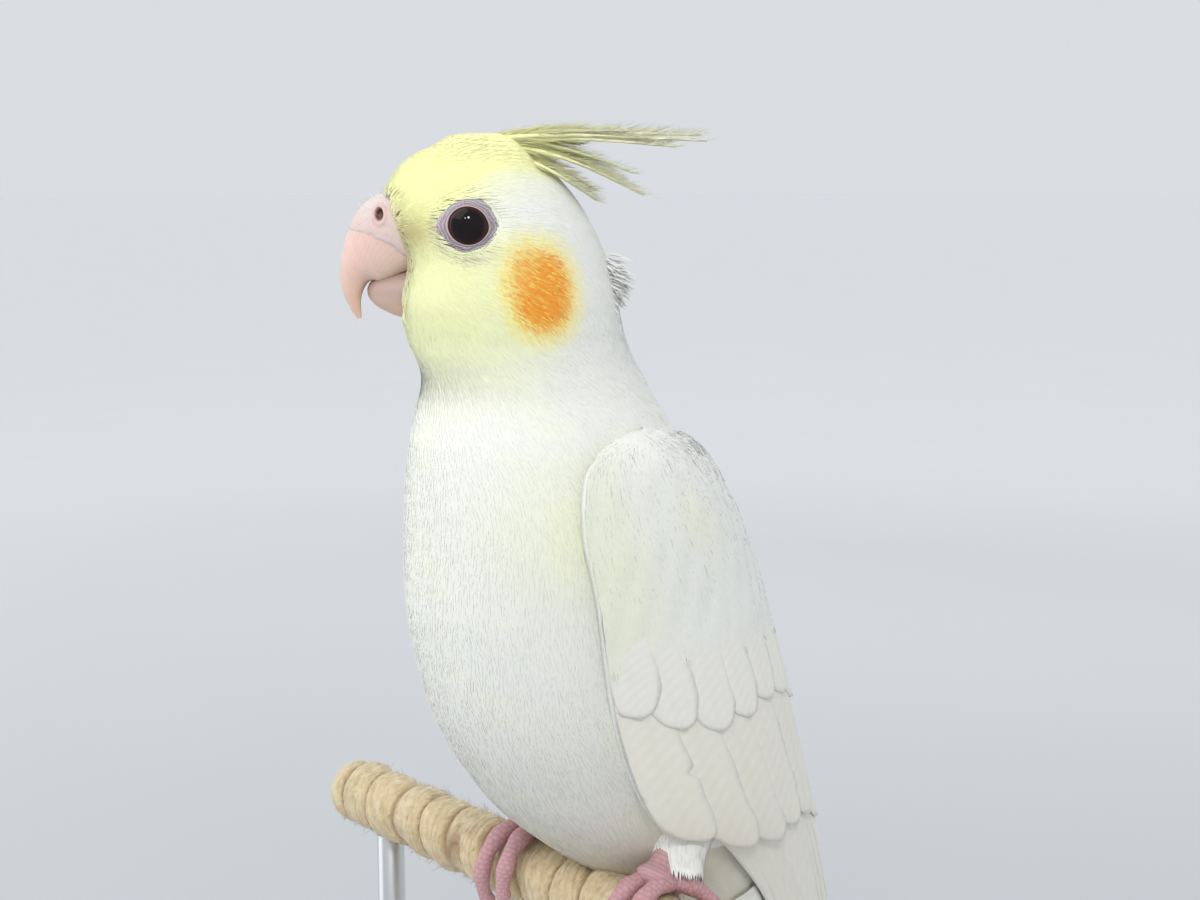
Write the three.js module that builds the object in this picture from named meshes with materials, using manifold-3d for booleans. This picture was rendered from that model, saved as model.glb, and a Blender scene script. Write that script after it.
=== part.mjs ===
// A pale cockatiel gripping a short length of cord-wrapped rail, on a plain display stand.
// Millimetres, +Z up. The origin is the centre of the base's underside.
// The bird's chest faces -Y and its left side is +X. Its head is turned to its own right.
import * as THREE from "three";
import { mergeVertices } from "three/addons/utils/BufferGeometryUtils.js";
import Module from "manifold-3d";

const wasm = await Module();
wasm.setup();

// Driving sizes.
const GAP = 0.3; // clearance between neighbouring pieces
const MOUTH_GAP = 0.45; // the line of the mouth
const PERCH_RADIUS = 6.5; // outside of the cord wrapping
const PERCH_LENGTH = 140;
const PERCH_HEIGHT = 174; // floor to the middle of the perch
const PERCH_Y = -26; // the perch stands in front of the base's middle
const CORE_RADIUS = 2.6;
const CORD_TURN = 9.3; // width of one turn of the wrapping
const BASE_LENGTH = 150;
const BASE_DEPTH = 136;
const BASE_THICK = 12;
const ROD_RADIUS = 2.6;
const ROD_X = 58;
const FOOT_X = 16.5; // each foot's distance from the middle of the stance
const STANCE_X = 3; // how far to its left the bird stands of the middle of the perch
const HEAD_TURN = 38; // degrees, to the bird's right
const EYE_RADIUS = 4.1;

const FINEST = 0.015; // the shortest edge that a union or cut may leave
const BODY_SIDES = 24;

// Small helpers.
const vec = (x, y, z) => new THREE.Vector3(x, y, z);
const radians = THREE.MathUtils.degToRad;
const mix = THREE.MathUtils.lerp;
const range = (count) => Array.from({ length: count }, (_, i) => i);

// A smooth curve through a list of numbers, one unit apart.
function smoothAt(values, position) {
  const last = values.length - 1;
  const i = Math.min(Math.max(Math.floor(position), 0), last - 1);
  const f = position - i;
  const at = (k) => values[Math.min(Math.max(k, 0), last)];
  const [p0, p1, p2, p3] = [at(i - 1), at(i), at(i + 1), at(i + 2)];
  const bend = 2 * p0 - 5 * p1 + 4 * p2 - p3;
  const twist = 3 * p1 - p0 - 3 * p2 + p3;
  return p1 + 0.5 * f * (p2 - p0 + f * (bend + f * twist));
}

const smoothPoint = (points, position) =>
  vec(...[0, 1, 2].map((axis) => smoothAt(points.map((p) => p[axis]), position)));

// A closed solid from rings of equal length. Both ends are closed by a fan to the ring's middle.
function ringSolid(rings) {
  const sides = rings[0].length;
  const points = rings.flat();
  const faces = [];
  const corner = (ring, k) => ring * sides + (k % sides);
  for (let i = 0; i < rings.length - 1; i++) {
    for (let k = 0; k < sides; k++) {
      faces.push(corner(i, k), corner(i, k + 1), corner(i + 1, k + 1));
      faces.push(corner(i, k), corner(i + 1, k + 1), corner(i + 1, k));
    }
  }
  for (const [ring, flip] of [[0, true], [rings.length - 1, false]]) {
    const middle = rings[ring].reduce((sum, p) => sum.add(p), vec(0, 0, 0)).divideScalar(sides);
    const apex = points.push(middle) - 1;
    for (let k = 0; k < sides; k++) {
      const edge = [corner(ring, k), corner(ring, k + 1)];
      faces.push(...(flip ? edge.reverse() : edge), apex);
    }
  }
  return solidFrom(points, faces);
}

// A manifold solid from points and triangles, turned inside out if its faces point in.
function solidFrom(points, faces) {
  const make = (order) =>
    new wasm.Manifold(
      new wasm.Mesh({
        numProp: 3,
        vertProperties: new Float32Array(points.flatMap((p) => [p.x, p.y, p.z])),
        triVerts: new Uint32Array(order),
      }),
    );
  const made = make(faces);
  if (made.volume() >= 0) return made;
  const turned = [];
  for (let i = 0; i < faces.length; i += 3) turned.push(faces[i], faces[i + 2], faces[i + 1]);
  return make(turned);
}

// A three.js geometry as a manifold solid.
function solidOf(geometry) {
  const bare = geometry.clone();
  bare.deleteAttribute("normal");
  bare.deleteAttribute("uv");
  const merged = mergeVertices(bare, 1e-4);
  const place = merged.getAttribute("position");
  const points = range(place.count).map((i) => vec(place.getX(i), place.getY(i), place.getZ(i)));
  return solidFrom(points, [...merged.index.array]);
}

// A manifold solid as a three.js geometry. Edges shorter than FINEST are closed up, and loose scraps dropped.
function geometryOf(solid) {
  const pieces = solid.setTolerance(FINEST).decompose();
  const largest = pieces.reduce((a, b) => (a.volume() > b.volume() ? a : b));
  const mesh = largest.getMesh();
  const geometry = new THREE.BufferGeometry();
  geometry.setAttribute("position", new THREE.BufferAttribute(mesh.vertProperties, 3));
  geometry.setIndex(new THREE.BufferAttribute(mesh.triVerts, 1));
  geometry.computeVertexNormals();
  return geometry;
}

const joined = (solids) => wasm.Manifold.union(solids);

function boxSolid(low, high) {
  const size = high.clone().sub(low);
  const middle = low.clone().add(high).multiplyScalar(0.5);
  return solidOf(new THREE.BoxGeometry(size.x, size.y, size.z).translate(middle.x, middle.y, middle.z));
}

// A ball stretched to three radii and turned by a rotation.
function ballSolid(centre, radii, turn = new THREE.Matrix4(), rings = 8) {
  const ball = new THREE.SphereGeometry(1, rings * 2, rings).scale(radii.x, radii.y, radii.z);
  return solidOf(ball.applyMatrix4(turn).translate(centre.x, centre.y, centre.z));
}

// A tube along points, with a radius at each point. grow makes it larger all round, its ends too.
function tubeSolid(points, radii, sides, grow = 0, flatten = 1) {
  const last = points.length - 1;
  const rings = points.map((p, i) => {
    const ahead = points[Math.min(i + 1, last)];
    const along = ahead.clone().sub(points[Math.max(i - 1, 0)]).normalize();
    const out = vec(1, 0, 0).cross(along).normalize();
    const across = along.clone().cross(out).normalize();
    const end = i === 0 ? -1 : i === last ? 1 : 0;
    const middle = p.clone().addScaledVector(along, end * grow);
    return range(sides).map((k) => {
      const angle = (2 * Math.PI * (k + 0.5)) / sides;
      return middle
        .clone()
        .addScaledVector(across, (radii[i] + grow) * Math.cos(angle))
        .addScaledVector(out, (radii[i] * flatten + grow) * Math.sin(angle));
    });
  });
  return ringSolid(rings);
}

// The body: rings from the tail coverts up to the crown, about the middle of the perch.
// x, y, z: a ring's middle. lean: degrees that the ring tips back towards the tail. turn: degrees that
// it is turned to the bird's right. front, back and side: how far it reaches each way.
const BODY_RINGS = [
  { x: 0, y: 49.2, z: -51, lean: 25, turn: 0, front: 4.8, back: 4.8, side: 11 },
  { x: 0, y: 43, z: -38, lean: 26, turn: 0, front: 6.8, back: 7.6, side: 12.8 },
  { x: 0, y: 36.5, z: -24, lean: 27, turn: 0, front: 9.2, back: 10.8, side: 14.8 },
  { x: 0, y: 30, z: -11, lean: 28, turn: 0, front: 11.8, back: 14, side: 17 },
  { x: 0, y: 23.5, z: 1, lean: 28, turn: 0, front: 14.2, back: 17.2, side: 19.6 },
  { x: 0, y: 17, z: 13.5, lean: 26, turn: 0, front: 20, back: 20.2, side: 22 },
  { x: 0, y: 9.8, z: 25.5, lean: 21, turn: 0, front: 26, back: 23.6, side: 24 },
  { x: 0, y: 3.5, z: 39, lean: 14, turn: 0, front: 29.6, back: 26.4, side: 25.2 },
  { x: 0, y: -0.5, z: 54, lean: 8, turn: 0, front: 29.8, back: 26.8, side: 25.2 },
  { x: 0, y: -3.5, z: 69, lean: 4, turn: 0, front: 27.2, back: 24.4, side: 23.4 },
  { x: -0.5, y: -6.5, z: 80, lean: 1, turn: 8, front: 22.8, back: 21, side: 20 },
  { x: -2.2, y: -8.8, z: 88, lean: 0, turn: 22, front: 17.8, back: 19.6, side: 17 },
  { x: -3.8, y: -12.5, z: 94.5, lean: 0, turn: 33, front: 15.9, back: 20.4, side: 15.4 },
  { x: -4.6, y: -15, z: 100.8, lean: 0, turn: 38, front: 14.3, back: 21.2, side: 14.4 },
  { x: -4.6, y: -15.4, z: 107, lean: 0, turn: 38, front: 13, back: 19.8, side: 13.3 },
  { x: -4.6, y: -15.4, z: 112.5, lean: 0, turn: 38, front: 14.9, back: 17.4, side: 12.3 },
  { x: -4.6, y: -15.4, z: 117, lean: 0, turn: 38, front: 16.2, back: 14.6, side: 10.9 },
  { x: -4.6, y: -15.4, z: 120.6, lean: 0, turn: 38, front: 14.3, back: 11.2, side: 9.1 },
  { x: -4.6, y: -15.4, z: 123.4, lean: 0, turn: 38, front: 10.8, back: 7, side: 6.7 },
  { x: -4.6, y: -15.4, z: 125.2, lean: 0, turn: 38, front: 6, back: 2.4, side: 3.4 },
];
const NECK_FROM = 9.8; // ring position where the torso ends and the neck begins
const HEAD_FROM = 12.25; // and where the neck ends and the head begins
const CROWN = BODY_RINGS.length - 1;
const HEAD_STEPS = 10;
const TORSO_STEPS = 12;
const ROUNDNESS = 2.15; // 2 is an ellipse, and more is squarer

const bodyValue = (key, position) => smoothAt(BODY_RINGS.map((ring) => ring[key]), position);

// The middle and the three directions of the body's ring at a position.
function bodyFrame(position) {
  const lean = radians(bodyValue("lean", position));
  const turn = radians(bodyValue("turn", position));
  return {
    middle: vec(bodyValue("x", position), bodyValue("y", position), bodyValue("z", position)),
    front: vec(-Math.sin(turn), -Math.cos(turn) * Math.cos(lean), -Math.sin(lean)),
    left: vec(Math.cos(turn), -Math.sin(turn), 0),
  };
}

function bodyPoint(position, angle, grow = 0) {
  const { middle, front, left } = bodyFrame(position);
  const power = 2 / ROUNDNESS;
  const shaped = (value) => Math.sign(value) * Math.abs(value) ** power;
  const ahead = bodyValue(Math.cos(angle) > 0 ? "front" : "back", position) + grow;
  const side = bodyValue("side", position) + grow;
  return middle
    .addScaledVector(front, ahead * shaped(Math.cos(angle)))
    .addScaledVector(left, side * shaped(Math.sin(angle)));
}

// The part of the body between two ring positions. grow makes it larger all round, its ends too.
function bodyPart(from, to, steps, grow = 0) {
  const rings = range(steps + 1).map((i) => {
    const position = mix(from, to, i / steps);
    const end = i === 0 ? -1 : i === steps ? 1 : 0;
    const { front, left } = bodyFrame(position);
    const shift = front.cross(left).multiplyScalar(end * grow);
    return range(BODY_SIDES).map((k) =>
      bodyPoint(position, (2 * Math.PI * k) / BODY_SIDES, grow).add(shift),
    );
  });
  return ringSolid(rings);
}

// Places in the head: forward, to its left and up from the middle of the head.
const HEAD_MIDDLE = vec(-4.6, -15.4, 112.5);
const HEAD_FRONT = vec(-Math.sin(radians(HEAD_TURN)), -Math.cos(radians(HEAD_TURN)), 0);
const HEAD_LEFT = vec(Math.cos(radians(HEAD_TURN)), -Math.sin(radians(HEAD_TURN)), 0);
const inHead = (forward, left, up) =>
  HEAD_MIDDLE.clone()
    .addScaledVector(HEAD_FRONT, forward)
    .addScaledVector(HEAD_LEFT, left)
    .add(vec(0, 0, up));
const HEAD_AXES = new THREE.Matrix4().makeBasis(HEAD_FRONT, HEAD_LEFT, vec(0, 0, 1));

// A bill: each row is an outer and an inner point of its profile, forward and up, and its half width.
const UPPER_BILL = [
  { outer: [12.6, 2.2], inner: [9.6, -6.2], half: 4.4 },
  { outer: [16.4, 1.9], inner: [12.2, -7.1], half: 4.7 },
  { outer: [19.6, 0.2], inner: [14.6, -8.3], half: 4.6 },
  { outer: [21.4, -2.2], inner: [16.2, -8.8], half: 4.2 },
  { outer: [22.4, -5.2], inner: [17.7, -8.6], half: 3.5 },
  { outer: [22.6, -8.0], inner: [18.7, -9.4], half: 2.7 },
  { outer: [22.1, -10.6], inner: [19.4, -11.1], half: 1.9 },
  { outer: [21.1, -12.9], inner: [19.5, -12.8], half: 1.15 },
  { outer: [20.0, -14.6], inner: [19.4, -14.4], half: 0.4 },
];
const LOWER_BILL = [
  { outer: [9.2, -6.6], inner: [11.6, -14.6], half: 4.0 },
  { outer: [12.2, -7.0], inner: [13.6, -14.2], half: 4.1 },
  { outer: [14.8, -7.4], inner: [15.2, -13.6], half: 3.7 },
  { outer: [16.8, -8.0], inner: [16.8, -12.7], half: 3.0 },
  { outer: [17.9, -8.8], inner: [17.8, -11.8], half: 2.0 },
  { outer: [18.4, -9.8], inner: [18.3, -10.9], half: 0.9 },
];
const CERE = [
  { outer: [13.2, 4.6], inner: [13.0, -1.6], half: 4.5 },
  { outer: [15.2, 4.8], inner: [14.6, -2.4], half: 5.0 },
  { outer: [17.4, 4.0], inner: [16.2, -2.4], half: 4.95 },
  { outer: [19.3, 2.3], inner: [18.1, -2.2], half: 4.3 },
  { outer: [21.0, 0.0], inner: [20.0, -2.0], half: 2.7 },
];
const NOSTRIL = { forward: 16.0, up: 1.7, side: 3.6, wide: 0.62, tall: 1.0, deep: 2.6 };

function billSolid(rows, steps, sides, grow = 0, skew = 0) {
  const at = (key, axis, position) => smoothAt(rows.map((row) => row[key][axis]), position);
  const rings = range(steps + 1).map((i) => {
    const position = ((rows.length - 1) * i) / steps;
    const outer = [at("outer", 0, position), at("outer", 1, position)];
    const inner = [at("inner", 0, position), at("inner", 1, position)];
    const half = smoothAt(rows.map((row) => row.half), position) + grow;
    const deep = Math.hypot(outer[0] - inner[0], outer[1] - inner[1]) / 2;
    const stretch = (deep + grow) / deep;
    const back = i === 0 ? grow : 0;
    return range(sides).map((k) => {
      const angle = (2 * Math.PI * k) / sides;
      const share = Math.cos(angle) * stretch;
      const wide = half * Math.sin(angle) * (1 - skew * Math.cos(angle));
      return inHead(
        mix(inner[0], outer[0], 0.5 + 0.5 * share) - back,
        wide,
        mix(inner[1], outer[1], 0.5 + 0.5 * share),
      );
    });
  });
  return ringSolid(rings);
}

// The eye sits in a socket, and a ring of bare lid stands round it.
const EYE = { forward: 2.1, up: 0.2, side: 8.9 };
const LID = { radius: 3.8, thick: 0.75, side: 11.8 };

function eyePlace(hand) {
  return inHead(EYE.forward, hand * EYE.side, EYE.up);
}

function lidSolid(hand) {
  const ring = new THREE.TorusGeometry(LID.radius, LID.thick, 5, 14).scale(1.1, 1, 1);
  ring.rotateX(Math.PI / 2).rotateZ(hand * radians(8)).rotateX(hand * radians(7));
  const place = inHead(EYE.forward, hand * LID.side, EYE.up);
  return solidOf(ring.applyMatrix4(HEAD_AXES).translate(place.x, place.y, place.z));
}

function eyeSolid(hand, grow = 0) {
  const radius = EYE_RADIUS + grow;
  return ballSolid(eyePlace(hand), vec(radius, radius, radius), HEAD_AXES, 7);
}

function nostrilCut(hand) {
  const hole = new THREE.CylinderGeometry(1, 1, NOSTRIL.deep, 10).scale(NOSTRIL.wide, 1, NOSTRIL.tall);
  hole.rotateZ(-hand * radians(35));
  const place = inHead(NOSTRIL.forward, hand * (NOSTRIL.side + 1.2), NOSTRIL.up);
  return solidOf(hole.applyMatrix4(HEAD_AXES).translate(place.x, place.y, place.z));
}

// A feather vane: a flat leaf that follows a path on a surface. place(along, across) gives a point of
// its middle sheet and the way out of the surface, with along from 0 to 1 and across in millimetres.
function vaneSolid({ place, steps, half, thick, shape }) {
  const rings = range(steps + 1).map((i) => {
    const along = i / steps;
    const reach = half * shape(along);
    const depth = (thick / 2) * (along > 0.99 ? 0.6 : 1);
    return [[-reach, -depth], [-reach, depth], [reach, depth], [reach, -depth]].map(([across, lift]) => {
      const { point, out } = place(along, across);
      return point.clone().addScaledVector(out, lift);
    });
  });
  return ringSolid(rings);
}
const roundedVane = (along) => Math.sqrt(Math.max(1 - Math.max(along - 0.55, 0) ** 2 / 0.235, 0.02));
const pointedVane = (along) => Math.max((0.75 + 0.5 * along) * (1 - along ** 4), 0.16);

// The left wing's outer surface, row by row from the shoulder to the tip: its lower front edge,
// its upper back edge, and how far it bulges between them.
const WING_ROWS = [
  { front: [19, -5.4, 81.6], back: [17.5, -2.3, 82], bulge: 0.8 },
  { front: [21.4, -15, 77.4], back: [11.5, 12.5, 78.7], bulge: 6.6 },
  { front: [23.2, -17.5, 68], back: [8.5, 22, 69], bulge: 9.8 },
  { front: [24.4, -15.8, 57], back: [5.5, 28, 58], bulge: 12 },
  { front: [24.8, -14.2, 46], back: [4, 32.5, 46], bulge: 13.4 },
  { front: [24.6, -10.6, 33], back: [2.8, 37, 33], bulge: 14.2 },
  { front: [23.8, -3.9, 20], back: [2, 41, 19.5], bulge: 14 },
  { front: [22.2, 8.2, 7], back: [1.6, 45, 6], bulge: 12.3 },
  { front: [19.6, 21, -8], back: [1.4, 49.3, -9], bulge: 9.6 },
  { front: [16, 33.5, -25], back: [1.2, 53.5, -26], bulge: 5.8 },
  { front: [12.2, 45.5, -47], back: [1.2, 58.5, -48], bulge: 2.8 },
  { front: [7.6, 62, -72], back: [1.2, 67, -73], bulge: 0.9 },
  { front: [4.6, 68.6, -86], back: [1.8, 71, -86], bulge: 0.3 },
];
const WING_END = WING_ROWS.length - 1;
const WING_SKEW = 1.25; // over 1 brings the fullest part nearer to the back edge
const WING_CORE_END = 8.2; // the fleshy part of the wing ends here, and only vanes go on

// A point of the wing's surface. row: 0 at the shoulder. across: 0 at the front edge, 1 at the back.
function wingPoint(row, across) {
  const front = smoothPoint(WING_ROWS.map((r) => r.front), row);
  const back = smoothPoint(WING_ROWS.map((r) => r.back), row);
  const bulge = smoothAt(WING_ROWS.map((r) => r.bulge), row);
  const chord = back.clone().sub(front);
  const out = vec(chord.y, -chord.x, 0).normalize();
  const skewed = across ** WING_SKEW;
  const rise = (4 * skewed * (1 - skewed)) ** 0.85;
  return front.addScaledVector(chord, across).addScaledVector(out, bulge * rise);
}

function wingOut(row, across) {
  const step = 0.05;
  const inner = Math.min(Math.max(across, step), 1 - step);
  const [above, below] = [Math.max(row - step, 0), Math.min(row + step, WING_END)];
  const down = wingPoint(below, inner).sub(wingPoint(above, inner));
  const over = wingPoint(row, inner + step).sub(wingPoint(row, inner - step));
  return down.cross(over).normalize();
}

// The wing's thick part, from its outer surface inwards.
function wingCore() {
  const rowSteps = 9;
  const acrossSteps = 6;
  const depthAt = (row) => 9 * Math.min(1, (WING_CORE_END - row) / 6 + 0.12);
  const rings = range(rowSteps + 1).map((i) => {
    const row = mix(0.12, WING_CORE_END, i / rowSteps);
    const ring = range(acrossSteps + 1).map((k) => wingPoint(row, k / acrossSteps));
    const inside = range(acrossSteps - 1).map((k) => {
      const across = 1 - (k + 1) / acrossSteps;
      return wingPoint(row, across).addScaledVector(wingOut(row, across), -depthAt(row));
    });
    return [...ring, ...inside];
  });
  return ringSolid(rings);
}

// Tiers of wing feathers: where the roots and tips lie, how many there are, and how wide and proud.
const WING_TIERS = [
  { count: 3, root: 1.1, tip: 2.7, from: 0.2, to: 0.8, half: 6.6, lift: 0.1, thick: 1.7 },
  { count: 4, root: 2.1, tip: 3.7, from: 0.12, to: 0.88, half: 6.2, lift: 0.05, thick: 1.7 },
  { count: 5, root: 3.2, tip: 5.1, from: 0.1, to: 0.9, half: 5.8, lift: 0, thick: 1.6 },
  { count: 5, root: 4.5, tip: 6.8, from: 0.12, to: 0.92, half: 6, lift: 0, thick: 1.6, skew: 0.5 },
];
const PRIMARIES = { count: 5, root: 5.4, half: 4.5, thick: 0.9, shortest: 8.2 };

function wingVane({ root, tip, rootAcross, tipAcross, half, thick, rootLift, tipLift, steps, shape }) {
  const place = (along, offset) => {
    const row = mix(root, tip, along);
    const across = mix(rootAcross, tipAcross, along);
    const span = wingPoint(row, 0).distanceTo(wingPoint(row, 1));
    const shifted = across + offset / Math.max(span, 4);
    const clamped = Math.min(Math.max(shifted, 0.01), 0.99);
    const out = wingOut(row, clamped);
    const point = wingPoint(row, clamped).addScaledVector(out, mix(rootLift, tipLift, along));
    return { point, out };
  };
  return vaneSolid({ place, steps, half, thick, shape });
}

function wingFeathers() {
  const vanes = [];
  WING_TIERS.forEach(({ count, root, tip, from, to, half, lift, thick, skew = 0 }, tier) => {
    range(count).forEach((i) => {
      const share = i / (count - 1);
      const across = mix(from, to, share);
      vanes.push(
        wingVane({
          root,
          tip: tip - skew * (1 - share) + 0.1 * Math.sin(7 * i + tier),
          rootAcross: across,
          tipAcross: across,
          half,
          thick,
          rootLift: -1.1,
          tipLift: lift + 0.16 * (i % 2),
          steps: 3,
          shape: roundedVane,
        }),
      );
    });
  });
  range(PRIMARIES.count).forEach((i) => {
    const share = i / (PRIMARIES.count - 1);
    vanes.push(
      wingVane({
        root: PRIMARIES.root,
        tip: mix(PRIMARIES.shortest, WING_END - 0.05, 1 - (1 - share) ** 1.4),
        rootAcross: mix(0.62, 0.14, share),
        tipAcross: mix(0.62, 0.5, share),
        half: PRIMARIES.half,
        thick: PRIMARIES.thick,
        rootLift: -1.3 - 0.1 * i,
        tipLift: -0.35 - 0.2 * i,
        steps: 4,
        shape: pointedVane,
      }),
    );
  });
  return vanes;
}

// The tail: overlapping vanes, the middle pair longest, spreading a little from one root.
const TAIL_ROOT = vec(0, 32.3, -14.7);
const TAIL_SLOPE = radians(25); // from straight down
const TAIL = { pairs: 6, longest: 154, shortest: 92, half: 5.6, thick: 0.9, spread: 3.6, step: 0.56 };
const TAIL_SOLE = { from: -1, to: 44, half: 10, deep: 2.5 }; // the block that carries the feathers
const SOLE_CORNERS = [[1, 0.6], [0.9, 1], [-0.9, 1], [-1, 0.6], [-1, -0.6], [-0.9, -1], [0.9, -1], [1, -0.6]];
const TAIL_ALONG = vec(0, Math.sin(TAIL_SLOPE), -Math.cos(TAIL_SLOPE));
const TAIL_UP = vec(0, Math.cos(TAIL_SLOPE), Math.sin(TAIL_SLOPE));
const TAIL_MIDDLE = -(TAIL.step * (TAIL.pairs - 1)) / 2;
const tailWidth = (along) => Math.min(0.34 + 2.4 * along, 0.82 + 0.3 * along);
const tailShape = (along) => Math.max(tailWidth(along) * (1 - along ** 6) ** 0.8, 0.1);

// One feather of a pair. Those further out lie lower, shorter and more splayed.
function tailVane(pair, hand) {
  const share = pair / (TAIL.pairs - 1);
  const length = mix(TAIL.longest, TAIL.shortest, share ** 0.8);
  const splay = radians(TAIL.spread) * share * hand;
  const along = TAIL_ALONG.clone().multiplyScalar(Math.cos(splay)).add(vec(Math.sin(splay), 0, 0));
  const side = along.clone().cross(TAIL_UP).normalize();
  const sink = -TAIL.step * pair - 0.24 * (hand > 0 ? 1 : 0);
  const start = TAIL_ROOT.clone().addScaledVector(TAIL_UP, sink).add(vec(hand * (0.6 + 0.4 * pair), 0, 0));
  const bow = 2.5 * (length / TAIL.longest) ** 2;
  const place = (t, across) => ({
    point: start
      .clone()
      .addScaledVector(along, length * t)
      .addScaledVector(side, across)
      .addScaledVector(TAIL_UP, -bow * t * t),
    out: TAIL_UP,
  });
  const half = TAIL.half * (1 - 0.1 * share);
  return vaneSolid({ place, steps: 5, half, thick: TAIL.thick, shape: tailShape });
}

// The block at the tail's root. A wider and longer one makes its slot in the body.
function tailSole(grow = 0, beyond = 0) {
  const { from, to, half, deep } = TAIL_SOLE;
  const stations = [[from - grow, 0.84], [mix(from, to, 0.3), 0.92], [mix(from, to, 0.75), 1], [to + beyond, 1]];
  const rings = stations.map(([distance, share]) => {
    const middle = TAIL_ROOT.clone()
      .addScaledVector(TAIL_ALONG, distance)
      .addScaledVector(TAIL_UP, TAIL_MIDDLE);
    return SOLE_CORNERS.map(([x, up]) =>
      middle
        .clone()
        .add(vec((half * share + grow) * x, 0, 0))
        .addScaledVector(TAIL_UP, (deep * share + grow) * up),
    );
  });
  return ringSolid(rings);
}

// The room that the whole tail takes up, for cutting the wing tips.
function tailSpace() {
  const rings = [[0, 8], [44, 11.2], [100, 14], [160, 14]].map(([distance, half]) => {
    const middle = TAIL_ROOT.clone().addScaledVector(TAIL_ALONG, distance);
    const bow = 2.5 * (distance / TAIL.longest) ** 2;
    const corners = [[-half, -6], [-half, 0.9], [half, 0.9], [half, -6]];
    return corners.map(([x, up]) => middle.clone().add(vec(x, 0, 0)).addScaledVector(TAIL_UP, up - bow));
  });
  return ringSolid(rings);
}

// The crest: a cap on the crown, with long narrow feathers that sweep back from it.
// root and tip are forward, left and up in the head; rise lifts the middle of the feather.
const CREST = [
  { root: [10, 0.5, 9.8], tip: [-34.8, 1.4, 12.9], rise: 3.3, half: 2.3 },
  { root: [9, -0.8, 10.3], tip: [-33.4, -1.6, 14.0], rise: 2.7, half: 2.3 },
  { root: [6, -2.2, 10.8], tip: [-27, -3.2, 12.6], rise: 2.9, half: 2.1 },
  { root: [4, 0.3, 11.6], tip: [-22, 0.8, 14.4], rise: 2.0, half: 2.0 },
  { root: [3, 2.6, 10.8], tip: [-24.8, 3.4, 4.6], rise: 4.4, half: 2.0 },
  { root: [2, -2.6, 11.0], tip: [-23, -3.8, 5.6], rise: 4.2, half: 2.0 },
  { root: [1, 1.4, 11.4], tip: [-20.4, 2.2, 7.4], rise: 3.2, half: 1.9 },
  { root: [0, -1.2, 11.6], tip: [-18.6, -1.4, 8.6], rise: 2.6, half: 1.9 },
  { root: [0, 3.4, 10.2], tip: [-17.4, 4.8, 3.8], rise: 3.2, half: 1.8 },
  { root: [0, -3.4, 10.4], tip: [-17, -5.2, 4.2], rise: 3.2, half: 1.8 },
];
const CREST_ROOF = radians(34); // how far the feathers' outer edges hang down
const crestShape = (along) => Math.max(0.5 + 1.3 * along - 1.7 * along ** 2.4, 0.14);

function crestFeather({ root, tip, rise, half }) {
  const start = inHead(...root);
  const end = inHead(...tip);
  const chord = end.clone().sub(start);
  const tilt = CREST_ROOF * (root[1] > 0 ? 1 : -1);
  const side = vec(0, 0, 1).cross(chord).normalize().applyAxisAngle(chord.clone().normalize(), tilt);
  const out = chord.clone().cross(side).normalize();
  const place = (along, across) => ({
    point: start
      .clone()
      .addScaledVector(chord, along)
      .addScaledVector(side, across)
      .add(vec(0, 0, rise * 4 * along * (1 - along) * (1 - 0.55 * along))),
    out,
  });
  return vaneSolid({ place, steps: 5, half, thick: 0.62, shape: crestShape });
}

function crestSolid() {
  const reach = inHead(1.5, 0, 12.2);
  const cap = ballSolid(reach, vec(11, 5.6, 4.2), HEAD_AXES, 5);
  const skin = bodyPart(HEAD_FROM, CROWN, HEAD_STEPS, 1.3);
  const under = bodyPart(HEAD_FROM, CROWN, HEAD_STEPS, GAP);
  const crown = skin.intersect(cap);
  return joined([crown, ...CREST.map(crestFeather)]).subtract(under);
}

// The feet: two toes forward and two back round the perch, each ending in a claw.
const TOE_RADIUS = 1.75;
const TOE_PATH = PERCH_RADIUS + GAP + TOE_RADIUS * 0.92;
const TOES = [
  { name: "front_outer", ahead: 1, reach: 128, splay: 1.4, start: 1.7 },
  { name: "front_inner", ahead: 1, reach: 106, splay: -1.2, start: -1.7 },
  { name: "back_outer", ahead: -1, reach: 104, splay: 4.2, start: 1.2 },
  { name: "back_inner", ahead: -1, reach: 74, splay: -3.4, start: -1.2 },
];
const CLAW = { length: 5.2, radius: 1.05, start: 2.4 }; // start: degrees past the toe's end

// A point of a toe's path: an angle round the perch from its top, forwards or back.
function toePoint(toe, hand, angle, radius) {
  const share = angle / toe.reach;
  const x = STANCE_X + hand * (FOOT_X + toe.start + toe.splay * Math.min(share * 1.6, 1));
  const turn = radians(angle) * toe.ahead;
  return vec(x, -radius * Math.sin(turn), radius * Math.cos(turn));
}

function toeSolid(toe, hand, grow = 0) {
  const steps = 6;
  const points = range(steps + 1).map((i) => toePoint(toe, hand, (toe.reach * i) / steps, TOE_PATH));
  const radii = range(steps + 1).map((i) => {
    const knuckle = 1 + 0.09 * Math.cos(i * 3);
    return TOE_RADIUS * knuckle * mix(1, 0.74, i / steps) * 0.96;
  });
  return tubeSolid(points, radii, 6, grow, 0.92);
}

function footSolid(hand, grow = 0) {
  const ball = vec(STANCE_X + hand * FOOT_X, 0, TOE_PATH + 0.4);
  const ankle = vec(STANCE_X + hand * (FOOT_X - 0.8), 5.2, TOE_PATH + 7);
  const shank = [ball, ball.clone().lerp(ankle, 0.5), ankle];
  const pad = ballSolid(ball, vec(3.4 + grow, 3.6 + grow, 1.9 + grow), new THREE.Matrix4(), 5);
  const toes = TOES.map((toe) => toeSolid(toe, hand, grow));
  return joined([pad, tubeSolid(shank, [2.4, 2.1, 2.2], 7, grow), ...toes]);
}

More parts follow.
